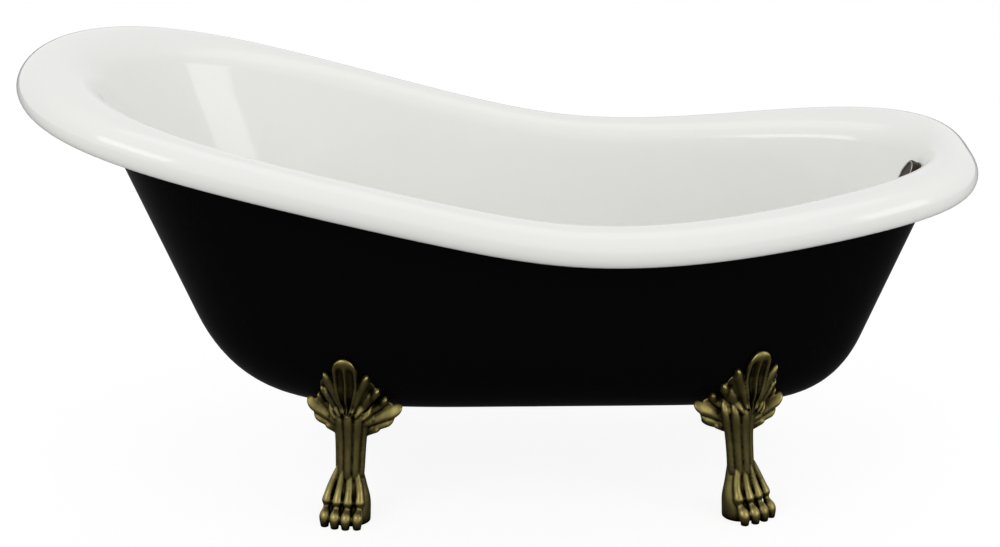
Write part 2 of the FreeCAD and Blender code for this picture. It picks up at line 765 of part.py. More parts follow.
# ---------------------------------------------------------------- base board
def make_base_board():
    low = UNDERSIDE + SKIRT_WALL
    middle = box_between(V(BOARD_HEAD_X + BOARD_HALF_WIDTH, -BOARD_HALF_WIDTH, low),
                         V(BOARD_FOOT_X, BOARD_HALF_WIDTH, low + BOARD_THICKNESS))
    end = Part.makeCylinder(BOARD_HALF_WIDTH, BOARD_THICKNESS,
                            V(BOARD_HEAD_X + BOARD_HALF_WIDTH, 0, low))
    return fused([middle, end])


# ---------------------------------------------------------------- drain
UP = V(0, 0, 1)
DRAIN = V(DRAIN_X, 0, FLOOR_TOP)
FLANGE_TOP = GASKET_THICKNESS + FLANGE_THICKNESS
SEAT_RADIUS = FLANGE_RADIUS - 6.0
FLOOR_BOTTOM = -BASIN_WALL
BODY_TOP = FLOOR_BOTTOM - GASKET_THICKNESS - LOCKNUT_HEIGHT
GUIDE_TOP = -NECK_DROP - 2.0


def seat_radius(height):
    share = (height - SEAT_BOTTOM) / (FLANGE_TOP - SEAT_BOTTOM)
    return NECK_BORE + share * (SEAT_RADIUS - NECK_BORE)


def make_drain_flange():
    profile = [(NECK_BORE, -NECK_DROP), (NECK_RADIUS, -NECK_DROP), (NECK_RADIUS, GASKET_THICKNESS),
               (FLANGE_RADIUS, GASKET_THICKNESS), (FLANGE_RADIUS, FLANGE_TOP - 1.5),
               (FLANGE_RADIUS - 2.0, FLANGE_TOP), (SEAT_RADIUS, FLANGE_TOP), (NECK_BORE, SEAT_BOTTOM)]
    return turned(profile, DRAIN, UP)


def make_waste_body():
    """Socket round the flange's neck, a branch for the overflow pipe and a threaded tail."""
    tail = TAIL_BOTTOM - FLOOR_TOP
    side = V(DRAIN_X, 0, BRANCH_HEIGHT)
    out = V(1, 0, 0)
    shell = prism(BODY_RADIUS, tail + TAIL_LENGTH, BODY_TOP, DRAIN, UP)
    shell = shell.fuse([rod(TAIL_RADIUS, tail, tail + TAIL_LENGTH, DRAIN, UP),
                        prism(PIPE_RADIUS, 0, BRANCH_REACH, side, out, PIPE_SIDES)])
    hollows = [prism(NECK_RADIUS + THREAD_FIT, -NECK_DROP - 1.0, BODY_TOP, DRAIN, UP),
               prism(TAIL_BORE, tail, -NECK_DROP, DRAIN, UP),
               prism(PIPE_RADIUS - PIPE_WALL, 0, BRANCH_REACH, side, out, PIPE_SIDES)]
    shell = shell.cut(hollows)
    low = GUIDE_TOP - GUIDE_HEIGHT
    arms = [prism(GUIDE_HUB, low, GUIDE_TOP, DRAIN, UP, 12)]
    for turn in (60, 180, 300):
        arm = Part.makeBox(TAIL_BORE + 1.0, 4.0, GUIDE_HEIGHT, DRAIN + V(0, -2.0, low))
        arm.rotate(DRAIN, UP, turn)
        arms.append(arm)
    whole = shell.fuse(arms).removeSplitter()
    return whole.cut(rod(STEM_RADIUS + STEM_FIT, low, GUIDE_TOP, DRAIN, UP))


def make_plug():
    """Domed plug with its boss, the seal round the boss and the stem below it."""
    dome = tapered([(seat_radius(SEAL_TOP) - 2 * SEAL_CLEARANCE, SEAL_TOP), (PLUG_RADIUS, FLANGE_TOP + 0.4),
                    (PLUG_RADIUS - 1.0, FLANGE_TOP + 2.2), (PLUG_RADIUS - 9.0, FLANGE_TOP + 4.6),
                    (PLUG_RADIUS / 3, FLANGE_TOP + 5.8)], DRAIN, UP)
    boss = prism(GUIDE_HUB, SEAT_BOTTOM, SEAL_TOP, DRAIN, UP, 12)
    seal = tapered([(seat_radius(SEAL_BOTTOM) - SEAL_CLEARANCE, SEAL_BOTTOM),
                    (seat_radius(SEAL_TOP) - SEAL_CLEARANCE, SEAL_TOP)], DRAIN, UP)
    seal = seal.cut(prism(GUIDE_HUB + BOLT_FIT, SEAL_BOTTOM, SEAL_TOP, DRAIN, UP, 12))
    stem = rod(STEM_RADIUS, SEAT_BOTTOM - STEM_LENGTH, SEAT_BOTTOM, DRAIN, UP)
    return fused([dome, boss]), seal, stem


# ---------------------------------------------------------------- overflow
FOOT_WALL = INSIDE[0]
WALL_OUT = FOOT_WALL.corner_out
DOWN_WALL = -FOOT_WALL.rise
OVERFLOW = FOOT_WALL.corner + FOOT_WALL.rise * ((OVERFLOW_HEIGHT - FLOOR_TOP) / FOOT_WALL.rise.z)
FACE = -WALL_OUT
ELBOW_BACK = -BASIN_WALL - GASKET_THICKNESS - ELBOW_DEPTH


def make_overflow_collar():
    """Plate that follows the wall, with a neck through it, a bush for the shaft and ports."""
    neck = -BASIN_WALL - GASKET_THICKNESS - 4.0
    plate = turned([(0, -BASIN_WALL), (COLLAR_RADIUS, -BASIN_WALL), (COLLAR_RADIUS, COLLAR_THICKNESS - 1.2),
                    (COLLAR_RADIUS - 1.2, COLLAR_THICKNESS), (0, COLLAR_THICKNESS)], OVERFLOW, FACE)
    near = box_between(OVERFLOW - V(60, 60, 60), OVERFLOW + V(60, 60, 60))
    plate = plate.common(filled(INSIDE, -COLLAR_CLEARANCE).common(near))
    whole = plate.fuse(prism(COLLAR_NECK_RADIUS, neck, 1.0, OVERFLOW, FACE))
    whole = whole.cut(prism(COLLAR_NECK_RADIUS - ELBOW_WALL, neck, -1.0, OVERFLOW, FACE))
    whole = whole.fuse(prism(GUIDE_HUB, -BASIN_WALL, COLLAR_THICKNESS, OVERFLOW, FACE, 12))
    ports = []
    for turn in (0, 120, 240):
        port = prism(3.5, -2.0, COLLAR_THICKNESS + 1.0, OVERFLOW + DOWN_WALL * 12.5, FACE, 8)
        port.rotate(OVERFLOW, FACE, turn)
        ports.append(port)
    ports.append(rod(STEM_RADIUS + STEM_FIT, -BASIN_WALL - 1.0, COLLAR_THICKNESS + 1.0, OVERFLOW, FACE))
    return whole.removeSplitter().cut(ports)


def make_overflow_gasket():
    """Soft ring between the wall's hidden side and the elbow."""
    front = -BASIN_WALL - GASKET_THICKNESS
    ring = washer(COLLAR_NECK_RADIUS + THREAD_FIT, ELBOW_RADIUS, front, front + 2 * GASKET_THICKNESS,
                  OVERFLOW, FACE)
    near = box_between(OVERFLOW - V(60, 60, 60), OVERFLOW + V(60, 60, 60))
    return ring.cut(filled(INSIDE, BASIN_WALL).common(near))


def make_knob():
    low = COLLAR_THICKNESS + KNOB_GAP
    top = low + KNOB_THICKNESS
    ring_groove = RING_HEIGHT
    profile = [(0, low), (KNOB_RADIUS - 1.0, low), (KNOB_RADIUS, low + 1.0), (KNOB_RADIUS, top - 2.0),
               (KNOB_RADIUS - 2.0, top), (RING_RADIUS, top), (RING_RADIUS, top - ring_groove),
               (RING_RADIUS - RING_WIDTH, top - ring_groove), (0, top - ring_groove - 1.4)]
    knob = turned(profile, OVERFLOW, FACE, 24)
    band = [(RING_RADIUS - RING_WIDTH, top - ring_groove), (RING_RADIUS, top - ring_groove),
            (RING_RADIUS, top + ring_groove / 2), (RING_RADIUS - RING_WIDTH, top + ring_groove / 2)]
    ring = turned(band, OVERFLOW, FACE, 24)
    shaft = rod(STEM_RADIUS, low - SHAFT_LENGTH, low, OVERFLOW, FACE)
    crank = Part.makeBox(12.0, 5.0, 3.0, V(-2.5, -2.5, 0))
    crank.Placement = FreeCAD.Placement(OVERFLOW + FACE * (low - SHAFT_LENGTH - 3.0),
                                        FreeCAD.Rotation(V(0, 0, 1), FACE))
    return knob, ring, fused([shaft, crank])


PIPE_DEPTH = -18.4
PIPE_TURNS = (V(603.0, 0, 236.0), V(562.0, 0, 196.0), V(508.0, 0, BRANCH_HEIGHT))
PIPE_END = V(DRAIN_X + BRANCH_REACH, 0, BRANCH_HEIGHT)
PIPE_HEAD = OVERFLOW + FACE * PIPE_DEPTH
PIPE_RUN = (PIPE_TURNS[0] - PIPE_HEAD).normalize()
PIPE_START = PIPE_HEAD + PIPE_RUN * ELBOW_DROP


def make_overflow_elbow():
    """Flat cup behind the wall that narrows to a round outlet down between the skins."""
    front = -BASIN_WALL - GASKET_THICKNESS
    cup = prism(ELBOW_RADIUS, ELBOW_BACK, front, OVERFLOW, FACE)
    cup_middle = OVERFLOW + FACE * ((front + ELBOW_BACK) / 2)

    def outlet(wall):
        wide = ELBOW_RADIUS - 4.0 - wall
        deep = ELBOW_DEPTH / 2 - wall
        round_size = PIPE_RADIUS - wall
        neck = PIPE_HEAD + PIPE_RUN * (ELBOW_DROP - NUT_LENGTH)
        return skin_solid([ring_at(cup_middle + PIPE_RUN * 4.0, PIPE_RUN, wide, deep, PIPE_SIDES),
                           ring_at(neck, PIPE_RUN, round_size, round_size, PIPE_SIDES),
                           ring_at(PIPE_START, PIPE_RUN, round_size, round_size, PIPE_SIDES)])

    hollow = prism(ELBOW_RADIUS - ELBOW_WALL, ELBOW_BACK + ELBOW_WALL, front - ELBOW_WALL, OVERFLOW, FACE)
    mouth = prism(COLLAR_NECK_RADIUS + THREAD_FIT, front - ELBOW_WALL - 1.0, front, OVERFLOW, FACE)
    return cup.fuse(outlet(0.0)).removeSplitter().cut([hollow, mouth, outlet(PIPE_WALL)])


def bent_rings(points, bend, radius, sides):
    """Rings of a bar along straight runs joined by tangent arcs, all in the XZ plane."""
    first_run = (points[1] - points[0]).normalize()
    rings = [ring_at(points[0], first_run, radius, radius, sides)]
    for before, turn, after in zip(points, points[1:], points[2:]):
        come = (turn - before).normalize()
        leave = (after - turn).normalize()
        angle = come.getAngle(leave)
        trim = bend * math.tan(angle / 2)
        steps = math.ceil(math.degrees(angle) / BEND_STEP)
        inward = (leave - come * come.dot(leave)).normalize()
        centre = turn - come * trim + inward * bend
        for step in range(steps + 1):
            part = angle * step / steps
            spot = centre - inward * (bend * math.cos(part)) + come * (bend * math.sin(part))
            run = come * math.cos(part) + inward * math.sin(part)
            rings.append(ring_at(spot, run, radius, radius, sides))
    last_run = (points[-1] - points[-2]).normalize()
    rings.append(ring_at(points[-1], last_run, radius, radius, sides))
    return rings


def make_overflow_pipe():
    route = [PIPE_START] + list(PIPE_TURNS) + [PIPE_END]
    outside = skin_solid(bent_rings(route, PIPE_BEND, PIPE_RADIUS, PIPE_SIDES))
    return outside.cut(skin_solid(bent_rings(route, PIPE_BEND, PIPE_RADIUS - PIPE_WALL, PIPE_SIDES)))


def pipe_nut(centre, axis):
    return washer(PIPE_RADIUS + THREAD_FIT, PIPE_RADIUS + NUT_WALL, -NUT_LENGTH / 2, NUT_LENGTH / 2,
                  centre, axis, PIPE_SIDES)


# ---------------------------------------------------------------- assembly
inner_basin = make_inner_basin()
floor_hole = prism(NECK_RADIUS + FLOOR_HOLE_SLACK, -20.0, 20.0, DRAIN, UP)
wall_hole = prism(COLLAR_NECK_RADIUS + FLOOR_HOLE_SLACK, -20.0, 20.0, OVERFLOW, FACE)
inner_basin = inner_basin.cut([floor_hole, wall_hole])
save("inner_basin", inner_basin)

cavity = make_cavity()
low_part = box_between(V(-LENGTH, -WIDTH, 0), V(LENGTH, 0, LEAF_TOP + LEAF_RELIEF))
clear_hull = filled(HULL, HULL_CLEARANCE).common(low_part)
feet = (("head", FOOT_HEAD_X, -FOOT_HEAD_SPLAY, 1), ("foot", FOOT_END_X, FOOT_END_SPLAY, -1))
bolts = []
washers = []
bolt_holes = []
for end, x, splay, inner_side in feet:
    foot = Foot(x, splay, inner_side)
    seat, axis = bolt_axis(foot)
    claw = make_foot(foot, seat, axis, clear_hull)
    save("claw_foot_front_" + end + "_end", claw)
    save("claw_foot_rear_" + end + "_end", mirrored(claw))
    block = make_block(foot, seat, axis, cavity)
    save("foot_block_front_" + end + "_end", block)
    save("foot_block_rear_" + end + "_end", mirrored(block))
    bolt = hex_bolt(seat, axis)
    ring = washer(BOLT_RADIUS + HOLE_SLACK, WASHER_RADIUS, -LUG_THICKNESS - WASHER_THICKNESS,
                  -LUG_THICKNESS, seat, axis, BOLT_SIDES)
    hole = prism(BOLT_RADIUS + HOLE_SLACK, -30.0, 12.0, seat, axis, BOLT_SIDES)
    bolts += [bolt, mirrored(bolt)]
    washers += [ring, mirrored(ring)]
    bolt_holes += [hole, mirrored(hole)]
save("foot_bolts", Part.makeCompound(bolts))
save("foot_washers", Part.makeCompound(washers))

slot = box_between(V(SLOT_HEAD_X, -SLOT_HALF_WIDTH, UNDERSIDE - 20.0),
                   V(SLOT_FOOT_X, SLOT_HALF_WIDTH, UNDERSIDE + 50.0))
outer_skirt = make_outer_skirt().cut([slot] + bolt_holes)
save("outer_skirt", outer_skirt)
save("base_board", make_base_board())

save("drain_flange", make_drain_flange())
save("upper_gasket", washer(NECK_RADIUS + THREAD_FIT, FLANGE_RADIUS - 2.0, 0, GASKET_THICKNESS, DRAIN, UP))
save("lower_gasket", washer(NECK_RADIUS + THREAD_FIT, LOCKNUT_RADIUS, FLOOR_BOTTOM - GASKET_THICKNESS,
                            FLOOR_BOTTOM, DRAIN, UP))
locknut = prism(LOCKNUT_RADIUS, BODY_TOP, FLOOR_BOTTOM - GASKET_THICKNESS, DRAIN, UP, 8)
save("waste_locknut", locknut.cut(prism(NECK_RADIUS + THREAD_FIT, BODY_TOP, 0, DRAIN, UP)))
save("waste_body", make_waste_body())
plug, seal, stem = make_plug()
save("drain_plug", plug)
save("plug_seal", seal)
save("plug_stem", stem)

save("overflow_collar", make_overflow_collar())
knob, knob_ring, knob_shaft = make_knob()
save("overflow_knob", knob)
save("knob_ring", knob_ring)
save("knob_shaft", knob_shaft)
save("overflow_gasket", make_overflow_gasket())
save("overflow_elbow", make_overflow_elbow())
save("overflow_pipe", make_overflow_pipe())
save("pipe_nut_upper", pipe_nut(PIPE_START, PIPE_RUN))
save("pipe_nut_lower", pipe_nut(PIPE_END, V(1, 0, 0)))
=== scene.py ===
import json
import math

import bmesh
import bpy
import numpy as np
from bpy.props import FloatProperty, FloatVectorProperty, IntProperty, PointerProperty
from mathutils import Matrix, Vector
from mathutils.bvhtree import BVHTree


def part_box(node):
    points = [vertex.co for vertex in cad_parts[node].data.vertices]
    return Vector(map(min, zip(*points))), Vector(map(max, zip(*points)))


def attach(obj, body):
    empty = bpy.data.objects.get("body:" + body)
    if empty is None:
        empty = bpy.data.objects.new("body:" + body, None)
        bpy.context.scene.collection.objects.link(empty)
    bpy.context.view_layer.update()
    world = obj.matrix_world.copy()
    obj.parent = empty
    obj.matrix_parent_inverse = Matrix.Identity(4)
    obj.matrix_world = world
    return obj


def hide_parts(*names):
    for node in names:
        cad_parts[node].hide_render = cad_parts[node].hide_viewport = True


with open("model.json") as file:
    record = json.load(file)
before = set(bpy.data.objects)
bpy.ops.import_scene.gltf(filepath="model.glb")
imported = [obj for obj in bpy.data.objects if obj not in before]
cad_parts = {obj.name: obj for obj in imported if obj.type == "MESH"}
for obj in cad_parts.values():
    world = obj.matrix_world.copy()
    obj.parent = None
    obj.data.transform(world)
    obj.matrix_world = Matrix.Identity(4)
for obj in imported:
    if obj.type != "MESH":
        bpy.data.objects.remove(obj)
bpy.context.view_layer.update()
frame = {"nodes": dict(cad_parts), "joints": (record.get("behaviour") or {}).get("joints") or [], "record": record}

bl_info = {
    "name": "Clawfoot slipper bathtub",
    "version": (1, 0, 0),
    "blender": (4, 5, 0),
    "location": "View3D > Sidebar > Bathtub",
    "description": "Builds the finished pieces of a slipper bathtub round its packed frame",
    "category": "Object",
}

# ------------------------------------------------------------------ sizes, metres
# +X runs to the low foot end, +Z is up and the side that faces the camera is -Y.
LENGTH = 1.7
WIDTH = 0.76
ROLL_HALF_WIDTH = 0.0436
ROLL_HALF_HEIGHT = 0.0349
RIM_TAPER = -0.126
LOW_RIM = 0.553
HEAD_RISE = 0.218
FOOT_RISE = 0.055
WAIST = 0.139
RIM_HEAD = LENGTH / 2 - ROLL_HALF_WIDTH
RIM_SIDE = WIDTH / 2 - ROLL_HALF_WIDTH
RIM_FULLNESS = (3.98, 2.09, 4.5, 3.17)
SEAT_FULLNESS = (3.17, 2.06, 3.3, 2.12)
HULL_FULLNESS = (3.22, 2.54, 3.26, 2.69)

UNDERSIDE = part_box("outer_skirt")[0].z
FLOOR_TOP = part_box("upper_gasket")[0].z
SEAT_GAP = 0.0003
SKIRT_INSET = (0.082, 0.02, 0.0266)        # head, foot and side, as in every such triple
LIP_REACH = 0.0073
LIP_DROP = 0.024
HULL = (0.4865, 0.615, 0.2284)
HULL_ROUND = (0.186, 0.1255, 0.178)
INSIDE_INSET = (0.1, 0.047, 0.0436)
INSIDE_DROP = (0.025, 0.014, 0.0)
INSIDE = (0.455, 0.56, 0.208)
INSIDE_ROUND = (0.165, 0.085, 0.15)
TURN_LENGTH = 0.3
QUARTER = 0.5523                           # handle of a cubic along a quarter of an ellipse
SLOT_HALF_WIDTH = 0.042
SLOT_ENDS = (0.372, 0.58)
SLOT_REGION = (0.3, 0.2, 0.05)             # least x, largest y, height over the underside
DRAIN_HOLE = 0.0252
FLAT_SHARE = 0.6                           # inner end of the bottom's rounding, as a share
PLAN_SAMPLES = 6001
RIM_SAMPLES = 8001
# rings for the rounding, the flank, the shoulder, the roll and its underside
BASIN_SEEN = (12, 8, 12, 24, 4)
BASIN_HIDDEN = (8, 4, 6, 12, 2)
SKIRT_SEEN = (18, 12)                      # rings for the rounding and the flank
SKIRT_HIDDEN = (8, 4)
SKIRT_MIDDLE = 0.02                        # innermost ring, as a share of the flat bottom

# share of the half length, height of the roll's centre
SHEER = np.array([(-1.0, LOW_RIM + HEAD_RISE), (-0.714, LOW_RIM + 0.78 * HEAD_RISE),
                  (-0.429, LOW_RIM + 0.511 * HEAD_RISE), (-0.143, LOW_RIM + 0.235 * HEAD_RISE),
                  (0.143, LOW_RIM + 0.027 * HEAD_RISE), (0.429, LOW_RIM + 0.09 * FOOT_RISE),
                  (0.714, LOW_RIM + 0.57 * FOOT_RISE), (1.0, LOW_RIM + FOOT_RISE)])

# claw feet
NECK_HEIGHT = 0.228
HANG_HEIGHT = 0.226                        # below this the leaf hangs free of the hull
NECK_SWELL = 0.027                         # how far the neck stands out behind the leaf
NECK_HALF_WIDTH = 0.04
SWELL_HEIGHTS = (0.165, 0.215, 0.285)      # where the swell starts, is fullest and ends
LEAN_HEIGHT = 0.1                          # the leaf leans over from this height
FLUTE_PITCH = 38.0
KNUCKLE_HEIGHT = 0.04
TOE_SHIFT = 0.006
TOE_STEP = 0.005                           # how much shorter each toe outwards is
TOES = (-1.5, -0.5, 0.5, 1.5)              # places in toe pitches from the paw's middle
LEAF_WIDTH = 0.025
LEAF_ROOT = 0.003                          # how far the leaf's back sinks into the hull
PETAL_RINGS = 30
PETAL_FRONT = 15
BOLT_SETBACK = 0.043
LUG_HALF_WIDTH = 0.022
LUG_REACH = 0.019
LUG_THICKNESS = 0.011
LUG_PROBE = 0.008
SMOOTHINGS = 3
CAST_CREASE = 60.0
# end, station, splay in degrees, side of the tub's middle, and the leaf's width and lean
FEET = (("head", -0.267, -14.0, 1, 1.0, 0.0), ("foot", 0.422, 33.0, -1, 0.88, 0.075))

# fittings
DRAIN = Vector(((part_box("drain_flange")[0].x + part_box("drain_flange")[1].x) / 2, 0, FLOOR_TOP))
UP = Vector((0, 0, 1))
KNOB_JOINT = next(joint for joint in frame["joints"] if joint["name"] == "knob_turn")
OVERFLOW = Vector(KNOB_JOINT["pos_m"])
FACE = Vector(KNOB_JOINT["axis"]).normalized()
FLANGE_BORE = 0.021
FLANGE_NECK = 0.024
FLANGE_LENGTH = 0.038
FLANGE_RADIUS = 0.035
FLANGE_LIP = 0.002
DRAIN_SEAT = 0.0012
PLUG_HUB = 0.008
PLUG_UNDERSIDE = 0.0032
PLUG_RADIUS = 0.028
PLUG_TOP = 0.0123
KNOB_BASE = 0.005
KNOB_TOP = 0.017
GROOVE = (0.0277, 0.0295)                  # inner and outer radius of the bright line's groove
GROOVE_DEPTH = 0.001

# stage: name, place, width and height, and the setting that holds the power
LAMPS = (("key_lamp", (-2.6, -2.9, 3.1), (2.6, 1.8), "key_power"),
         ("fill_lamp", (3.2, -2.2, 1.9), (2.0, 2.0), "fill_power"),
         ("top_lamp", (0.3, 0.5, 3.3), (2.6, 1.6), "top_power"))
WHITE = (1, 1, 1, 1)
FLOOR_HALF_WIDTH = 14.0
FLOOR_DROP = 0.0005
FLOOR_GLOW = 1.1
FLOOR_COVER = 0.8                          # share of the glow over the matt floor
WORLD_LIGHT = 0.64


def linear(code):
    """Linear colour of an sRGB hex code."""
    parts = [int(code[k:k + 2], 16) / 255 for k in (1, 3, 5)]
    return tuple(p / 12.92 if p <= 0.04045 else ((p + 0.055) / 1.055) ** 2.4 for p in parts)


# ------------------------------------------------------------------ settings
def length(name, default, description):
    return FloatProperty(name=name, default=default, unit="LENGTH", precision=4,
                         description=description)


def colour(name, code, description):
    return FloatVectorProperty(name=name, subtype="COLOR", default=linear(code),
                               description=description)


class TubSettings(bpy.types.PropertyGroup):
    stations: IntProperty(name="Profiles", default=192, min=48, max=320,
                          description="Upright profiles round the tub")
    basin_wall: length("Basin wall", 0.006, "Thickness of the white inner shell")
    skirt_wall: length("Skirt wall", 0.005, "Thickness of the black outer shell")


class FootSettings(bpy.types.PropertyGroup):
    grain: length("Grain", 0.0013, "Size of the finest form kept in the cast feet")
    flute_radius: length("Flute", 0.008, "Radius of a rib of the fluted shaft")
    toe_radius: length("Toe", 0.0092, "Radius of a toe at its knuckle")
    toe_pitch: length("Toe pitch", 0.02, "Distance between two toes")
    leaf_width: length("Leaf", LEAF_WIDTH, "Half width of the leaf's middle lobe")


class FinishSettings(bpy.types.PropertyGroup):
    white: colour("White acrylic", "#F1F1EE", "Colour of the inner shell and its roll")
    black: colour("Black acrylic", "#070708", "Colour of the skirt")
    brass: colour("Antique brass", "#A3965C", "Colour of the polished high points of the feet")
    patina: colour("Patina", "#1A150B", "Colour in the hollows of the feet")
    bronze: colour("Dark bronze", "#3A322B", "Colour of the drain and overflow trim")


class StageSettings(bpy.types.PropertyGroup):
    azimuth: FloatProperty(name="Azimuth", default=math.radians(-0.7081), unit="ROTATION",
                           description="Turn of the camera round the tub")
    elevation: FloatProperty(name="Elevation", default=math.radians(20.4967), unit="ROTATION",
                             description="Height of the camera above the horizon")
    distance: length("Distance", 4.49994, "Camera to the middle of the tub")
    aim_height: length("Aim height", 0.3885, "Height the camera looks at")
    lens: FloatProperty(name="Lens", default=88.46, description="Focal length in millimetres")
    key_power: FloatProperty(name="Key lamp", default=42.0, unit="POWER",
                             description="Power of the big lamp at the upper left")
    fill_power: FloatProperty(name="Fill lamp", default=26.0, unit="POWER",
                              description="Power of the lamp at the right")
    top_power: FloatProperty(name="Top lamp", default=9.0, unit="POWER",
                             description="Power of the lamp overhead")


# ------------------------------------------------------------------ curves and plans
class Spline:
    """Smooth curve through points, whose ends leave as a cubic through the last four does."""

    def __init__(self, places, values):
        self.places = np.array(places, float)
        self.values = np.array(values, float).reshape(len(self.places), -1)
        count = len(self.places)
        steps = np.diff(self.places)[:, None]
        rises = np.diff(self.values, axis=0) / steps
        matrix = np.eye(count)
        right = np.zeros_like(self.values)
        for k in range(1, count - 1):
            before, after = steps[k - 1, 0], steps[k, 0]
            matrix[k, k - 1:k + 2] = (after, 2 * (before + after), before)
            right[k] = 3 * (after * rises[k - 1] + before * rises[k])
        for end, near in ((0, slice(0, 4)), (count - 1, slice(count - 4, count))):
            for column in range(self.values.shape[1]):
                cubic = np.polyfit(self.places[near], self.values[near, column], 3)
                right[end, column] = np.polyval(np.polyder(cubic), self.places[end])
        self.slopes = np.linalg.solve(matrix, right)

    def __call__(self, where):
        where = np.clip(np.atleast_1d(np.array(where, float)), self.places[0], self.places[-1])
        k = np.clip(np.searchsorted(self.places, where) - 1, 0, len(self.places) - 2)
        step = (self.places[k + 1] - self.places[k])[:, None]
        share = (where - self.places[k])[:, None] / step
        back = 1 - share
        return (self.values[k] * back ** 2 * (1 + 2 * share)
                + self.values[k + 1] * share ** 2 * (1 + 2 * back)
                + self.slopes[k] * step * share * back ** 2
                - self.slopes[k + 1] * step * back * share ** 2)


rim_line = Spline(SHEER[:, 0] * RIM_HEAD, SHEER[:, 1])


def rim_height(x):
    return rim_line(x)[:, 0]


def oval(angles, ends, waist, fullness, taper):
    """Points of an egg-shaped oval that reaches x = -head and x = foot."""
    head, foot, side = ends
    across = np.cos(angles)
    headward = across < 0
    reach = np.where(headward, head + waist, foot - waist)
    power = np.where(headward, 2 / fullness[0], 2 / fullness[2])
    bend = np.where(headward, 2 / fullness[1], 2 / fullness[3])
    x = waist + np.sign(across) * reach * np.abs(across) ** power
    rise = np.sin(angles)
    y = side * np.sign(rise) * np.abs(rise) ** bend * (1 + taper * (x - waist) / RIM_HEAD)
    return np.column_stack((x, y, np.zeros_like(x)))


def rim_plan(angles):
    return oval(angles, (RIM_HEAD, RIM_HEAD, RIM_SIDE), -WAIST, RIM_FULLNESS, RIM_TAPER)


def inset_plan(angles, inset):
    ends = (RIM_HEAD - inset[0], RIM_HEAD - inset[1], RIM_SIDE - inset[2])
    return oval(angles, ends, -WAIST, SEAT_FULLNESS, RIM_TAPER)


def corner_plan(angles, ends, height):
    """Where the straight flanks would meet the flat bottom."""
    head, foot = ends[:2]
    points = oval(angles, ends, (foot - head) / 2, HULL_FULLNESS, 0.0)
    points[:, 2] = height
    return points


def unit(rows):
    return rows / np.linalg.norm(rows, axis=1)[:, None]


def even_angles(count):
    """Angles round the tub, closer together where its plan turns."""
    fine = np.linspace(0, math.pi, PLAN_SAMPLES)
    steps = np.diff(inset_plan(fine, SKIRT_INSET), axis=0)
    turns = np.abs(np.diff(np.unwrap(np.arctan2(steps[:, 1], steps[:, 0]))))
    lengths = np.linalg.norm(steps, axis=1) + TURN_LENGTH * np.append(0, turns)
    reach = np.append(0, np.cumsum(lengths))
    half = np.interp(np.linspace(0, reach[-1], count // 2 + 1), reach, fine)
    return np.append(half, 2 * math.pi - half[-2:0:-1])


def nearest_on_rim(points):
    """Nearest point of the roll's centre line to each plan point."""
    line = rim_plan(np.linspace(0, math.pi, RIM_SAMPLES))
    runs = unit(np.gradient(line, axis=0))
    found = []
    for point in points:
        target = np.array((point[0], abs(point[1]), 0))
        k = np.argmin(np.linalg.norm(line - target, axis=1))
        near = line[k] + runs[k] * np.dot(target - line[k], runs[k])
        found.append((near[0], math.copysign(max(near[1], 0), point[1]), 0))
    return np.array(found)


class Profiles:
    """Upright profiles round the tub, square to the rim; each row belongs to one of them."""

    def __init__(self, count):
        self.angles = even_angles(count)
        seat = inset_plan(self.angles, SKIRT_INSET)
        rim = nearest_on_rim(seat)
        self.inset = np.linalg.norm(rim - seat, axis=1)[:, None]
        self.out = unit(rim - seat)
        along = np.column_stack((-self.out[:, 1], self.out[:, 0], np.zeros(count)))
        step = 0.004
        along[:, 2] = (rim_height(rim[:, 0] + along[:, 0] * step)
                       - rim_height(rim[:, 0] - along[:, 0] * step)) / (2 * step)
        self.up = np.cross(self.out, unit(along))
        rim[:, 2] = rim_height(rim[:, 0])
        self.rim = rim
        self.shares = np.column_stack((np.maximum(-np.cos(self.angles), 0) ** 2,
                                       np.maximum(np.cos(self.angles), 0) ** 2,
                                       np.sin(self.angles) ** 2))

    def blend(self, triple):
        return (self.shares @ np.array(triple))[:, None]

    def roll(self, turn, grow=0.0):
        """Points of the roll, turn in degrees from its outermost line."""
        turn = math.radians(turn)
        return (self.rim + self.out * ((ROLL_HALF_WIDTH + grow) * math.cos(turn))
                + self.up * ((ROLL_HALF_HEIGHT + grow) * math.sin(turn)))

    def underside(self, share, lift=0.0):
        """Points of the roll's underside, from its lowest line (0) to the lip's edge (1)."""
        reach = self.inset + LIP_REACH
        start = self.roll(-90, -lift)
        middle = start - self.out * (reach / 2)
        end = self.rim - self.out * reach - self.up * (LIP_DROP - lift)
        return start * (1 - share) ** 2 + middle * (2 * share * (1 - share)) + end * share ** 2

    def skirt_top(self, depth):
        share = (self.inset + depth) / (self.inset + LIP_REACH)
        return self.underside(share) - self.up * SEAT_GAP


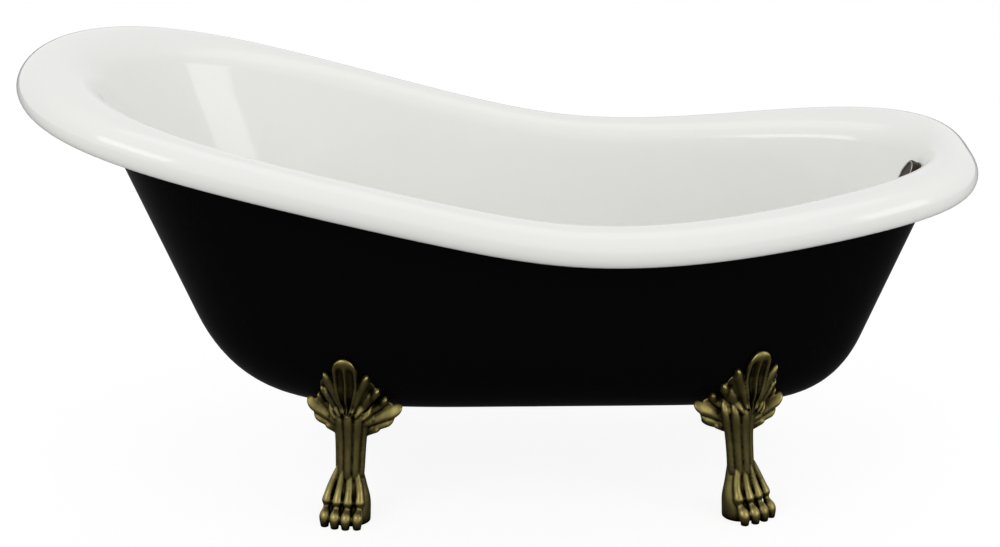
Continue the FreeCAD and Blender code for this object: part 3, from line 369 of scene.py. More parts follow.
class Flank:
    """Wall of a shell: straight flanks, a rounding and the start of the flat bottom."""

    def __init__(self, profiles, top, corner, ends, rounding):
        middle = (ends[1] - ends[0]) / 2
        inner = corner * (FLAT_SHARE, 0, 1) + ((1 - FLAT_SHARE) * middle, 0, 0)
        self.top = top
        self.corner = corner
        self.rise = unit(top - corner)
        leg = profiles.blend(rounding)
        room = 0.98 * np.linalg.norm(corner - inner, axis=1)[:, None]
        self.start = corner + self.rise * leg
        self.end = corner + unit(inner - corner) * np.minimum(leg, room)
        around = [np.roll(rows, -1, axis=0) - np.roll(rows, 1, axis=0) for rows in (top, corner)]
        self.top_out = unit(np.cross(around[0], self.rise))
        self.corner_out = unit(np.cross(around[1], self.rise))

    def rings(self, distance, pieces, flank_pieces):
        """Rings from the bottom's edge up to the top, moved outwards by a distance."""
        down = np.array((0, 0, -1))
        top = self.top + self.top_out * distance
        start = self.start + self.corner_out * distance
        end = self.end + down * distance
        mitre = distance / (1 - self.corner_out[:, 2:])
        corner = self.corner + (self.corner_out + down) * mitre
        found = []
        for share in np.linspace(0, 1, pieces + 1):
            found.append(end * (1 - share) ** 2 + corner * (2 * share * (1 - share))
                         + start * share ** 2)
        for share in np.linspace(0, 1, flank_pieces + 1)[1:]:
            found.append(start * (1 - share) + top * share)
        return found


def cubic(poles, pieces):
    """Rings along a cubic, its first left out."""
    a, b, c, d = poles
    return [a * (1 - s) ** 3 + b * (3 * s * (1 - s) ** 2) + c * (3 * s * s * (1 - s)) + d * s ** 3
            for s in np.linspace(0, 1, pieces + 1)[1:]]


# ------------------------------------------------------------------ mesh helpers
def follow_rings(bm, rings, endless=False):
    """Skin through rings of points: a circle's edges are extruded from ring to ring."""
    ring_verts = bmesh.ops.create_circle(bm, segments=len(rings[0]), radius=1.0)["verts"]
    edges = list({edge for vert in ring_verts for edge in vert.link_edges})
    made = list(ring_verts)
    for vert, point in zip(ring_verts, rings[0]):
        vert.co = point
    for ring in rings[1:] + ([rings[0]] if endless else []):
        geometry = bmesh.ops.extrude_edge_only(bm, edges=edges)["geom"]
        fresh = {item for item in geometry if isinstance(item, bmesh.types.BMVert)}
        ring_verts = [next(edge.other_vert(vert) for edge in vert.link_edges
                           if edge.other_vert(vert) in fresh) for vert in ring_verts]
        edges = [item for item in geometry
                 if isinstance(item, bmesh.types.BMEdge) and set(item.verts) <= fresh]
        for vert, point in zip(ring_verts, ring):
            vert.co = point
        made += ring_verts
    if endless:
        bmesh.ops.remove_doubles(bm, verts=made, dist=1e-6)
    else:
        open_edges = list({edge for vert in made for edge in vert.link_edges if edge.is_boundary})
        bmesh.ops.holes_fill(bm, edges=open_edges, sides=0)


def lathe(bm, profile, centre, axis, steps=96):
    """Piece turned about an axis from a closed line of (radius, height) points."""
    across = axis.orthogonal().normalized()
    points = [centre + across * radius + axis * height for radius, height in profile]
    line = [bmesh.ops.create_vert(bm, co=points[0])["vert"][0]]
    for point in points[1:] + points[:1]:
        vert = bmesh.ops.extrude_vert_indiv(bm, verts=[line[-1]])["verts"][0]
        vert.co = point
        line.append(vert)
    edges = list({edge for vert in line for edge in vert.link_edges})
    bmesh.ops.spin(bm, geom=line + edges, cent=centre, axis=axis, dvec=(0, 0, 0),
                   angle=2 * math.pi, steps=steps, use_merge=True, use_duplicate=False)
    bmesh.ops.remove_doubles(bm, verts=bm.verts, dist=1e-6)
    bmesh.ops.dissolve_degenerate(bm, edges=bm.edges, dist=1e-6)


def corner_arc(centre, radius, begin, finish, pieces=6):
    """Points of a rounded edge in a lathe profile; angles in degrees from outwards."""
    turns = [math.radians(begin + (finish - begin) * k / pieces) for k in range(pieces + 1)]
    return [(centre[0] + radius * math.cos(t), centre[1] + radius * math.sin(t)) for t in turns]


def finish_piece(bm, name, slot, body, nodes, crease=35.0):
    """Turns a bmesh into a smooth-shaded piece that rides on a body in place of CAD nodes."""
    bmesh.ops.recalc_face_normals(bm, faces=bm.faces)
    mesh = bpy.data.meshes.new(name)
    bm.to_mesh(mesh)
    bm.free()
    mesh.shade_smooth()
    mesh.set_sharp_from_angle(angle=math.radians(crease))
    piece = bpy.data.objects.new(name, mesh)
    bpy.context.scene.collection.objects.link(piece)
    mesh.materials.append(finish(slot))
    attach(piece, body)
    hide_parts(*nodes)
    return piece


# ------------------------------------------------------------------ materials
def add_node(tree, kind, inputs=None, **settings):
    """Adds a shader node; inputs maps sockets to values or to sockets to link from."""
    node = tree.nodes.new("ShaderNode" + kind)
    for name, value in settings.items():
        setattr(node, name, value)
    for key, value in (inputs or {}).items():
        if isinstance(value, bpy.types.NodeSocket):
            tree.links.new(value, node.inputs[key])
        else:
            node.inputs[key].default_value = value
    return node


def new_material(name):
    """Empty material, its node tree and a socket of Object coordinates."""
    material = bpy.data.materials.new(name)
    material.use_nodes = True
    tree = material.node_tree
    tree.nodes.clear()
    return material, tree, add_node(tree, "TexCoord").outputs["Object"]


def rgba(colour):
    return tuple(colour) + (1.0,)


def noise(tree, place, size_mm, detail, roughness=0.5):
    """Noise whose forms are about this many millimetres across."""
    return add_node(tree, "TexNoise", {"Vector": place, "Scale": 1000.0 / size_mm,
                                       "Detail": detail, "Roughness": roughness}).outputs["Fac"]


def remap(tree, value, low, high, start=0.0, stop=1.0):
    """Maps start to stop onto low to high and holds the ends."""
    return add_node(tree, "MapRange", {"Value": value, "From Min": start, "From Max": stop,
                                       "To Min": low, "To Max": high}).outputs[0]


def combine(tree, operation, first, second, clamp=False):
    return add_node(tree, "Math", {0: first, 1: second}, operation=operation,
                    use_clamp=clamp).outputs[0]


def relief(tree, height, strength, distance):
    return add_node(tree, "Bump", {"Height": height, "Strength": strength,
                                   "Distance": distance}).outputs[0]


def shaded(tree, colour, share):
    """A colour darkened by a grey share."""
    return add_node(tree, "Mix", {"Factor": 1.0, "A": rgba(colour), "B": share},
                    data_type="RGBA", blend_type="MULTIPLY").outputs["Result"]


def principled(tree, inputs):
    """Ends a material's tree in a principled surface."""
    shader = add_node(tree, "BsdfPrincipled", inputs)
    add_node(tree, "OutputMaterial", {"Surface": shader.outputs[0]})


def sanitary_acrylic(name, colour, gloss, specular):
    """Vacuum-formed acrylic sheet, polished: slight long waves under a hard clear gloss."""
    material, tree, place = new_material(name)
    waves = noise(tree, place, 90, 1.0)
    peel = noise(tree, place, 3.5, 2.0)
    smears = noise(tree, place, 60, 5.0, 0.6)
    height = combine(tree, "ADD", combine(tree, "MULTIPLY", waves, 6.0), peel)
    principled(tree, {
        "Base Color": shaded(tree, colour, remap(tree, waves, 0.985, 1.0)),
        "Roughness": remap(tree, smears, gloss * 0.8, gloss * 1.25, 0.3, 0.7),
        "IOR": 1.49, "Specular IOR Level": specular,
        "Normal": relief(tree, height, 0.12, 0.00008)})
    return material


def white_acrylic():
    # white sheet under a hard gloss: soft grey shading and small crisp highlights
    return sanitary_acrylic("White sanitary acrylic", bpy.context.scene.tub_finish.white, 0.1, 0.5)


def black_acrylic():
    # black sheet: nearly black, with a broad soft sheen where it turns to the lamp
    return sanitary_acrylic("Black gloss acrylic", bpy.context.scene.tub_finish.black, 0.2, 0.03)


def cast_metal(name, bright, dark, rough, hollow, mottle_mm, darkness):
    """Cast metal, chemically darkened and rubbed back: dark hollows, polished high points."""
    material, tree, place = new_material(name)
    cavity = add_node(tree, "AmbientOcclusion", {"Distance": hollow}, samples=8).outputs["AO"]
    edges = add_node(tree, "NewGeometry").outputs["Pointiness"]
    worn = combine(tree, "MULTIPLY", remap(tree, cavity, 0.0, 1.0, 0.4, 0.95),
                   remap(tree, edges, 0.0, 1.0, 0.44, 0.56))
    cloud = remap(tree, noise(tree, place, mottle_mm, 6.0, 0.62), -0.14, 0.14, 0.3, 0.7)
    share = combine(tree, "ADD", worn, cloud, clamp=True)
    ramp = add_node(tree, "ValToRGB", {"Fac": share})
    low, high = ramp.color_ramp.elements
    low.color, low.position = rgba(dark), darkness
    high.color, high.position = rgba(bright), 0.85
    specks = noise(tree, place, 1.6, 2.0)
    principled(tree, {
        "Base Color": ramp.outputs["Color"], "Metallic": 1.0,
        "Roughness": remap(tree, share, rough + 0.3, rough),
        "Normal": relief(tree, specks, 0.25, 0.00025)})
    return material


def antique_brass():
    # sand-cast brass, antiqued and rubbed: olive gold with black-brown crevices
    finishes = bpy.context.scene.tub_finish
    return cast_metal("Antiqued cast brass", finishes.brass, finishes.patina, 0.22, 0.02, 22, 0.14)


def dark_bronze():
    # oil-rubbed bronze: brown-black with warmer rubbed edges
    bronze = bpy.context.scene.tub_finish.bronze
    hollows = tuple(part * 0.35 for part in bronze)
    return cast_metal("Oil-rubbed bronze", bronze, hollows, 0.3, 0.004, 9, 0.1)


def plain_finish(name, colour, rough, metallic=0.0, grain_mm=2.0, bump=0.15, spread=0.08,
                 stretch=(1.0, 1.0, 1.0)):
    """Single-material finish: fine grain in its colour, roughness and relief."""
    material, tree, place = new_material(name)
    mapped = add_node(tree, "Mapping", {"Vector": place, "Scale": stretch}).outputs[0]
    grain = noise(tree, mapped, grain_mm, 5.0)
    principled(tree, {
        "Base Color": shaded(tree, colour, remap(tree, grain, 1 - 2 * spread, 1.0, 0.3, 0.7)),
        "Roughness": remap(tree, grain, rough * 0.85, min(rough * 1.15, 1.0), 0.3, 0.7),
        "Metallic": metallic, "Normal": relief(tree, grain, bump, 0.0002)})
    return material


def zinc_steel():
    # zinc-plated steel: pale grey, faintly mottled, soft shine
    return plain_finish("Zinc-plated steel", linear("#B4B6B8"), 0.38, 1.0, 4.0, 0.1, 0.1)


def bright_trim():
    # polished nickel line: a thin bright ring
    return plain_finish("Polished nickel", linear("#C9C3B6"), 0.16, 1.0, 1.5, 0.04, 0.05)


def sealing_rubber():
    # moulded nitrile rubber: matt near-black
    return plain_finish("Nitrile rubber", linear("#1B1B1B"), 0.72, 0.0, 1.2, 0.3, 0.12)


def moulded_plastic():
    # moulded polypropylene: off-white, half matt, with a fine tool texture
    return plain_finish("Moulded polypropylene", linear("#CDCCC6"), 0.45, 0.0, 0.9, 0.18, 0.05)


def timber_board():
    # birch plywood: pale brown, its grain drawn out along the tub
    return plain_finish("Birch plywood", linear("#B8925F"), 0.68, 0.0, 5.0, 0.4, 0.2,
                        (0.08, 1.0, 1.0))


FINISHES = {"acrylic_white": white_acrylic, "acrylic_black": black_acrylic,
            "antique_brass": antique_brass, "dark_bronze": dark_bronze, "steel": zinc_steel,
            "ring_metal": bright_trim, "rubber": sealing_rubber, "pipe_plastic": moulded_plastic,
            "board": timber_board}
finished = {}


def finish(slot):
    """The material of a slot, made once."""
    if slot not in finished:
        finished[slot] = FINISHES[slot]()
    return finished[slot]


# ------------------------------------------------------------------ shells
def floor_ring(edge, radius):
    """Ring round the drain that faces each point of the floor's edge."""
    away = edge - np.array(DRAIN)
    away[:, 2] = 0
    ring = np.array(DRAIN) + unit(away) * radius
    ring[:, 2] = edge[0, 2]
    return ring


def make_basin(profiles, wall):
    corner = corner_plan(profiles.angles, INSIDE, FLOOR_TOP)
    top = inset_plan(profiles.angles, INSIDE_INSET)
    top[:, 2] = profiles.rim[:, 2] - profiles.blend(INSIDE_DROP)[:, 0]
    flank = Flank(profiles, top, corner, INSIDE, INSIDE_ROUND)
    sides = []
    for shrink, pieces in ((0.0, BASIN_SEEN), (wall, BASIN_HIDDEN)):
        rounding, straight, shoulder, roll, under = pieces
        rings = flank.rings(shrink, rounding, straight)
        crest = profiles.roll(90, -shrink)
        begin = rings[-1]
        reach = np.sum((crest - begin) * profiles.out, axis=1)[:, None]
        fall = crest[:, 2:] - begin[:, 2:]
        rings += cubic((begin, begin + flank.rise * (QUARTER * fall),
                        crest - profiles.out * (QUARTER * reach), crest), shoulder)
        rings += [profiles.roll(90 - 180 * k / roll, -shrink) for k in range(1, roll + 1)]
        rings += [profiles.underside(k / under, shrink) for k in range(1, under + 1)]
        rings.insert(0, floor_ring(rings[0], DRAIN_HOLE))
        sides.append(rings)
    bm = bmesh.new()
    follow_rings(bm, sides[0] + sides[1][::-1], True)
    return finish_piece(bm, "basin_shell", "acrylic_white", "tub", ["inner_basin"])


def cut_slot(bm):
    """Opens the skirt's bottom for the waste and its pipe, through both faces."""
    least_x, largest_y, height = SLOT_REGION
    low_part = UNDERSIDE + height

    def near(items):
        return [item for item in items
                if all(vert.co.x > least_x and vert.co.z < low_part
                       and abs(vert.co.y) < largest_y for vert in item.verts)]

    planes = [(Vector((x, 0, 0)), Vector((1, 0, 0))) for x in SLOT_ENDS]
    planes += [(Vector((0, y, 0)), Vector((0, 1, 0))) for y in (-SLOT_HALF_WIDTH, SLOT_HALF_WIDTH)]
    for spot, normal in planes:
        faces = near(bm.faces)
        edges = list({edge for face in faces for edge in face.edges})
        verts = list({vert for face in faces for vert in face.verts})
        bmesh.ops.bisect_plane(bm, geom=verts + edges + faces, plane_co=spot, plane_no=normal)
    inside = []
    for face in bm.faces:
        middle = face.calc_center_median()
        within = SLOT_ENDS[0] < middle.x < SLOT_ENDS[1] and abs(middle.y) < SLOT_HALF_WIDTH
        if within and middle.z < low_part:
            inside.append(face)
    bmesh.ops.delete(bm, geom=inside, context="FACES")
    rims = [edge for edge in bm.edges if edge.is_boundary]
    bmesh.ops.bridge_loops(bm, edges=rims)


def make_skirt(profiles, wall):
    corner = corner_plan(profiles.angles, HULL, UNDERSIDE)
    flank = Flank(profiles, profiles.skirt_top(0), corner, HULL, HULL_ROUND)
    seen = flank.rings(0.0, *SKIRT_SEEN)
    hidden = flank.rings(-wall, *SKIRT_HIDDEN)
    hidden[-1] = profiles.skirt_top(wall)
    middle = np.array(((HULL[1] - HULL[0]) / 2, 0, 0))
    for rings in (seen, hidden):
        ring = middle + (rings[0] - middle) * SKIRT_MIDDLE
        ring[:, 2] = rings[0][:, 2]
        rings.insert(0, ring)
    bm = bmesh.new()
    follow_rings(bm, hidden + seen[::-1])
    return bm


# ------------------------------------------------------------------ claw feet
class FootPlace:
    """Axes of one front foot, from the floor below its neck; side runs to the tub's middle."""

    def __init__(self, hull, x, splay, inner_side, spread, lean):
        turn = math.radians(splay)
        self.spread = spread
        self.lean = lean
        self.forward = Vector((math.sin(turn), -math.cos(turn), 0))
        self.side = Vector((math.cos(turn), math.sin(turn), 0)) * inner_side
        self.hull = hull
        neck = hull.ray_cast(Vector((x, -1, NECK_HEIGHT)), Vector((0, 1, 0)))[0]
        self.origin = Vector((x, neck.y, 0))

    def spot(self, side, forward, height):
        return self.origin + self.side * side + self.forward * forward + UP * height

    def on_leaf(self, side, height, lift):
        """Point of the leaf: off the hull, or off the neck that swells out in front of it."""
        swell = 0.0
        if lift > 0:
            start, full, end = SWELL_HEIGHTS
            swell = NECK_SWELL * math.sqrt(max(0.0, 1 - (side / NECK_HALF_WIDTH) ** 2))
            swell *= ease(height, start, full) * (1 - ease(height, full, end))
        side = side * self.spread - self.lean * (height - LEAN_HEIGHT)
        level = max(height, HANG_HEIGHT)
        hit, normal = self.hull.ray_cast(self.spot(side, 0.5, level), -self.forward)[:2]
        if normal.dot(self.forward) < 0:
            normal = -normal
        return hit + normal * lift + self.forward * swell - UP * (level - height)


def ease(share, begin, finish):
    share = min(max((share - begin) / (finish - begin), 0.0), 1.0)
    return share * share * (3 - 2 * share)


def tip_round(share, begin=0.78):
    return math.sqrt(max(0.0, 1 - max(0.0, (share - begin) / (1 - begin)) ** 2))


def tongue_lift(u, share):
    """Middle lobe: a raised rim and midrib with channels between, closed by a domed top."""
    carved = (0.85 * math.exp(-((abs(u) - 0.8) / 0.17) ** 2) + 0.95 * math.exp(-(u / 0.17) ** 2)
              + 0.02)
    domed = 1.15 - 0.35 * u * u
    blend = ease(share, 0.79, 0.93)
    return 0.003 + 0.0095 * (carved * (1 - blend) + domed * blend)


def finger_lift(u, share):
    """Side lobe: a round ridge that swells towards its tip."""
    return 0.003 + (0.0085 + 0.003 * ease(share, 0.5, 0.85)) * (1 - u * u)


def blade_lift(u, share):
    """Thin ground of the leaf between its lobes."""
    return 0.0042 + 0.0012 * math.cos(5 * u)


def make_petal(bm, foot, route, half_width, lift, narrow):
    """Lobe of the leaf along a curve over the hull; its places are (side, height)."""
    base, bend, tip = [np.array(place) for place in route]
    rings = []
    for share in np.sin(np.linspace(0, math.pi / 2, PETAL_RINGS)):
        spine = base * (1 - share) ** 2 + bend * (2 * share * (1 - share)) + tip * share ** 2
        run = (bend - base) * (1 - share) + (tip - bend) * share
        across = np.array((-run[1], run[0])) / np.linalg.norm(run)
        full = (narrow + (1 - narrow) * ease(share, 0.0, 0.62)) * tip_round(share)
        width = half_width * max(full, 0.03)
        boldness = 0.4 + 0.6 * tip_round(share)
        section = [(u, lift(u, share) * boldness) for u in np.linspace(-1, 1, PETAL_FRONT)]
        section += [(u, -LEAF_ROOT) for u in (1, 0.3, -0.3, -1)]
        rings.append([foot.on_leaf(*(spine + across * (width * u)), rise) for u, rise in section])
    follow_rings(bm, rings)


def make_tube(bm, path, sides):
    """Round bar along (place, radius) rings, square to its own path."""
    rings = []
    for k, (place, radius) in enumerate(path):
        run = (path[min(k + 1, len(path) - 1)][0] - path[max(k - 1, 0)][0]).normalized()
        across = run.cross(Vector((0.3, 1, 0))).normalized()
        along = run.cross(across)
        turns = [2 * math.pi * (j + 0.5) / sides for j in range(sides)]
        rings.append([place + across * (radius * math.cos(t)) + along * (radius * math.sin(t))
                      for t in turns])
    follow_rings(bm, rings)


def along_levels(levels, count):
    """Rows of values on a smooth curve through the rows of levels."""
    return Spline(np.arange(len(levels)), levels)(np.linspace(0, len(levels) - 1, count))


def make_leg(bm, foot):
    """Core from the paw's sole to the neck; levels: forward, height, radius, width."""
    levels = np.array([(0.023, -0.006, 0.033, 1.1), (0.023, 0.006, 0.034, 1.1),
                       (0.022, 0.018, 0.033, 1.14), (0.018, 0.04, 0.0285, 1.28),
                       (0.0155, 0.062, 0.0245, 1.26), (0.012, 0.083, 0.022, 1.12),
                       (0.009, 0.1, 0.0205, 1.06), (0.002, 0.15, 0.0215, 1.06),
                       (-0.003, 0.185, 0.0235, 1.2), (-0.009, 0.212, 0.0225, 1.4),
                       (-0.012, 0.235, 0.018, 1.5)])
    sides = 40
    turns = [2 * math.pi * (k + 0.5) / sides for k in range(sides)]
    rings = []
    for forward, height, radius, width in along_levels(levels, 56):
        rings.append([foot.spot(radius * width * math.cos(t), forward + radius * math.sin(t),
                                height) for t in turns])
    follow_rings(bm, rings)


def make_flute(bm, foot, turn, radius):
    """Rib of the shaft, from the instep to the leaf; levels: forward, height, size, reach."""
    turn = math.radians(turn)
    levels = np.array([(0.012, 0.068, 0.5, 0.016), (0.012, 0.084, 0.78, 0.0195),
                       (0.01, 0.1, 0.88, 0.0208), (0.002, 0.15, 0.96, 0.0222),
                       (-0.002, 0.18, 1.08, 0.025), (-0.006, 0.2, 0.95, 0.0285),
                       (-0.012, 0.216, 0.6, 0.028)])
    path = [(foot.spot(reach * math.sin(turn), forward + reach * math.cos(turn), height),
             radius * size)
            for forward, height, size, reach in along_levels(levels, 30)]
    make_tube(bm, path, 14)


def make_toe(bm, foot, number, settings):
    """Toe from instep over knuckles to claw; levels: forward, height, size, fan."""
    spread = number * settings.toe_pitch - TOE_SHIFT
    short = TOE_STEP * abs(number) - TOE_STEP / 2
    levels = np.array([(0.026, 0.102, 0.5, 0.5), (0.031, 0.084, 0.72, 0.68),
                       (0.037, 0.064, 0.82, 0.88), (0.044, 0.05, 0.9, 0.98),
                       (0.048, KNUCKLE_HEIGHT, 1.06, 1.0), (0.052, 0.031, 0.68, 1.0),
                       (0.062, 0.02, 1.12, 1.0), (0.067, 0.008, 0.96, 1.0),
                       (0.066, -0.005, 0.75, 1.0)])
    path = [(foot.spot(spread * fan, forward - short * fan, height), settings.toe_radius * size)
            for forward, height, size, fan in along_levels(levels, 40)]
    make_tube(bm, path, 18)


LEAF = (                     # route as (side, height) places, half width, lift, base width
    (((-0.001, 0.196), (-0.001, 0.255), (0.005, 0.325)), 0.0228, tongue_lift, 0.14),
    (((0.009, 0.215), (0.022, 0.25), (0.0425, 0.291)), 0.0092, finger_lift, 0.5),
    (((-0.009, 0.215), (-0.021, 0.25), (-0.035, 0.2935)), 0.0092, finger_lift, 0.5),
    (((0.014, 0.206), (0.032, 0.228), (0.0575, 0.259)), 0.0088, finger_lift, 0.5),
    (((-0.014, 0.206), (-0.028, 0.228), (-0.046, 0.26)), 0.0088, finger_lift, 0.5),
    (((0.024, 0.2), (0.045, 0.212), (0.066, 0.236)), 0.008, finger_lift, 0.45),
    (((-0.024, 0.2), (-0.041, 0.212), (-0.058, 0.238)), 0.008, finger_lift, 0.45),
    (((0.018, 0.184), (0.054, 0.192), (0.09, 0.215)), 0.0095, finger_lift, 0.7),
    (((-0.018, 0.184), (-0.05, 0.192), (-0.082, 0.22)), 0.0095, finger_lift, 0.7),
    (((0.018, 0.172), (0.05, 0.176), (0.075, 0.196)), 0.009, finger_lift, 0.7),
    (((-0.018, 0.172), (-0.044, 0.176), (-0.069, 0.198)), 0.009, finger_lift, 0.7),
    (((0.016, 0.162), (0.036, 0.168), (0.052, 0.182)), 0.0085, finger_lift, 0.7),
    (((-0.016, 0.162), (-0.034, 0.168), (-0.048, 0.184)), 0.0085, finger_lift, 0.7),
    (((0.006, 0.205), (0.026, 0.245), (0.042, 0.275)), 0.016, blade_lift, 0.6),
    (((-0.006, 0.205), (-0.026, 0.245), (-0.036, 0.277)), 0.016, blade_lift, 0.6),
    (((0.012, 0.186), (0.046, 0.194), (0.076, 0.214)), 0.02, blade_lift, 0.8),
    (((-0.012, 0.186), (-0.04, 0.194), (-0.068, 0.217)), 0.02, blade_lift, 0.8))


def make_lug(bm, foot):
    """Plate from the neck in under the hull, square to the bolt."""
    hits = [foot.hull.ray_cast(foot.spot(side, forward - BOLT_SETBACK, 0.05), UP)[0]
            for side, forward in ((0, 0), (LUG_PROBE, 0), (0, LUG_PROBE))]
    axis = (hits[1] - hits[0]).cross(hits[2] - hits[0]).normalized()
    if axis.z < 0:
        axis = -axis
    along = (foot.forward - axis * foot.forward.dot(axis)).normalized()
    across = axis.cross(along)
    corners = ((-LUG_REACH, -1), (BOLT_SETBACK, -1), (BOLT_SETBACK, 1), (-LUG_REACH, 1))
    follow_rings(bm, [[hits[0] - axis * depth + along * reach + across * (LUG_HALF_WIDTH * wide)
                       for reach, wide in corners] for depth in (LUG_THICKNESS, 0.0)])


def cast_foot(foot, settings):
    """One foot as a single casting: its forms are joined, evened out and cut off at the floor."""
    bm = bmesh.new()
    make_leg(bm, foot)
    for turn in range(-2, 3):
        make_flute(bm, foot, turn * FLUTE_PITCH, settings.flute_radius)
    for number in TOES:
        make_toe(bm, foot, number, settings)
    for route, half_width, lift, narrow in LEAF:
        make_petal(bm, foot, route, half_width * settings.leaf_width / LEAF_WIDTH, lift, narrow)
    make_lug(bm, foot)
    bmesh.ops.recalc_face_normals(bm, faces=bm.faces)
    rough = bpy.data.meshes.new("foot_forms")
    bm.to_mesh(rough)
    bm.free()
    holder = bpy.data.objects.new("foot_forms", rough)
    bpy.context.scene.collection.objects.link(holder)
    joiner = holder.modifiers.new("joined", "REMESH")
    joiner.mode = "VOXEL"
    joiner.voxel_size = settings.grain
    graph = bpy.context.evaluated_depsgraph_get()
    joined = bpy.data.meshes.new_from_object(holder.evaluated_get(graph))
    bpy.data.objects.remove(holder)
    bpy.data.meshes.remove(rough)
    bm = bmesh.new()
    bm.from_mesh(joined)
    bpy.data.meshes.remove(joined)
    for _ in range(SMOOTHINGS):
        bmesh.ops.smooth_vert(bm, verts=bm.verts, factor=0.5, use_axis_x=True, use_axis_y=True,
                              use_axis_z=True)
    bmesh.ops.bisect_plane(bm, geom=bm.verts[:] + bm.edges[:] + bm.faces[:], plane_co=(0, 0, 0),
                           plane_no=(0, 0, -1), clear_outer=True)
    bmesh.ops.holes_fill(bm, edges=[edge for edge in bm.edges if edge.is_boundary], sides=0)
    return bm


# ------------------------------------------------------------------ operators
class BATHTUB_OT_basin(bpy.types.Operator):
    """White inner shell with its rolled rim"""

    bl_idname = "bathtub.basin"
    bl_label = "Basin"

    def execute(self, context):
        settings = context.scene.tub_settings
        make_basin(Profiles(settings.stations), settings.basin_wall)
        return {"FINISHED"}


class BATHTUB_OT_skirt(bpy.types.Operator):
    """Black outer shell, with the slot below the waste"""

    bl_idname = "bathtub.skirt"
    bl_label = "Skirt"

    def execute(self, context):
        settings = context.scene.tub_settings
        bm = make_skirt(Profiles(settings.stations), settings.skirt_wall)
        cut_slot(bm)
        finish_piece(bm, "skirt_shell", "acrylic_black", "tub", ["outer_skirt"])
        return {"FINISHED"}


class BATHTUB_OT_feet(bpy.types.Operator):
    """Four cast claw feet; the rear ones mirror the front ones"""

    bl_idname = "bathtub.feet"
    bl_label = "Claw feet"

    def execute(self, context):
        skirt = bpy.data.objects.get("skirt_shell")
        if skirt is None:
            raise RuntimeError("build the skirt first: the feet are fitted to it")
        hull = bmesh.new()
        hull.from_mesh(skirt.data)
        tree = BVHTree.FromBMesh(hull)
        hull.free()
        for end, x, splay, inner_side, spread, lean in FEET:
            place = FootPlace(tree, x, splay, inner_side, spread, lean)
            front = cast_foot(place, context.scene.foot_settings)
            rear = front.copy()
            bmesh.ops.scale(rear, verts=rear.verts, vec=(1, -1, 1))
            for bm, side in ((front, "front"), (rear, "rear")):
                finish_piece(bm, f"cast_foot_{side}_{end}", "antique_brass", "tub",
                             [f"claw_foot_{side}_{end}_end"], CAST_CREASE)
        return {"FINISHED"}


class BATHTUB_OT_drain(bpy.types.Operator):
    """Drain flange and its domed plug"""

    bl_idname = "bathtub.drain"
    bl_label = "Drain"

    def execute(self, context):
        flange = [(FLANGE_BORE, -FLANGE_LENGTH), (FLANGE_NECK, -FLANGE_LENGTH),
                  (FLANGE_NECK, FLANGE_LIP), (FLANGE_RADIUS, FLANGE_LIP)]
        flange += corner_arc((0.0335, 0.004), 0.0015, 0, 90)
        flange += corner_arc((0.03, 0.0047), 0.0008, 90, 160, 4)
        flange += [(FLANGE_BORE, DRAIN_SEAT)]
        bm = bmesh.new()
        lathe(bm, flange, DRAIN, UP)
        finish_piece(bm, "drain_ring", "dark_bronze", "tub", ["drain_flange"])
        plug = [(0.0, DRAIN_SEAT), (PLUG_HUB, DRAIN_SEAT), (PLUG_HUB, PLUG_UNDERSIDE),
                (0.0232, PLUG_UNDERSIDE)]
        plug += corner_arc((0.0268, 0.0068), 0.0012, -20, 60)
        plug += [(PLUG_RADIUS * math.cos(t), 0.0052 + 0.0071 * math.sin(t))
                 for t in np.linspace(0.5, math.pi / 2, 12)]
        bm = bmesh.new()
        lathe(bm, plug[:-1] + [(0.0, PLUG_TOP)], DRAIN, UP)
        finish_piece(bm, "plug_dome", "dark_bronze", "plug", ["drain_plug"])
        return {"FINISHED"}


class BATHTUB_OT_knob(bpy.types.Operator):
    """Turning knob over the overflow, with its bright ring"""

    bl_idname = "bathtub.knob"
    bl_label = "Overflow knob"

    def execute(self, context):
        low, top = KNOB_BASE, KNOB_TOP
        inner, outer = GROOVE
        groove = top - GROOVE_DEPTH
        knob = [(0.0, low), (0.0315, low)] + corner_arc((0.0317, low + 0.0008), 0.0008, -80, 0)
        knob += corner_arc((0.0302, top - 0.0023), 0.0023, 0, 90, 10)
        knob += [(outer, top), (outer, groove), (inner, groove)]
        knob += [(inner * math.cos(t), groove - 0.0016 * math.sin(t))
                 for t in np.linspace(0.15, math.pi / 2, 10)]
        bm = bmesh.new()
        lathe(bm, knob[:-1] + [(0.0, top - 0.0026)], OVERFLOW, FACE)
        finish_piece(bm, "knob_body", "dark_bronze", "knob", ["overflow_knob"])
        band = [(inner, groove), (outer, groove)]
        band += corner_arc((0.0286, top + 0.0001), 0.0006, 0, 180, 8)
        bm = bmesh.new()
        lathe(bm, band, OVERFLOW, FACE)
        finish_piece(bm, "knob_line", "ring_metal", "knob", ["knob_ring"])
        return {"FINISHED"}


class BATHTUB_OT_finishes(bpy.types.Operator):
    """Materials for the pieces that come from the frame as they are"""

    bl_idname = "bathtub.finishes"
    bl_label = "Finishes"

    def execute(self, context):
        for subpart in frame["record"]["subparts"]:
            node = frame["nodes"][subpart["node"]]
            node.data.materials.clear()
            node.data.materials.append(finish(subpart["material_slot"]))
        return {"FINISHED"}


class BATHTUB_OT_stage(bpy.types.Operator):
    """White floor and world, lamps and the camera"""

    bl_idname = "bathtub.stage"
    bl_label = "Stage"

    def execute(self, context):
        make_floor()
        light_world()
        settings = context.scene.stage_settings
        aim = Vector((0, 0, settings.aim_height))
        for name, spot, size, power in LAMPS:
            place_lamp(name, spot, aim, size, getattr(settings, power))
        place_camera(context.scene, settings, aim)
        context.scene.view_settings.view_transform = "Standard"
        return {"FINISHED"}


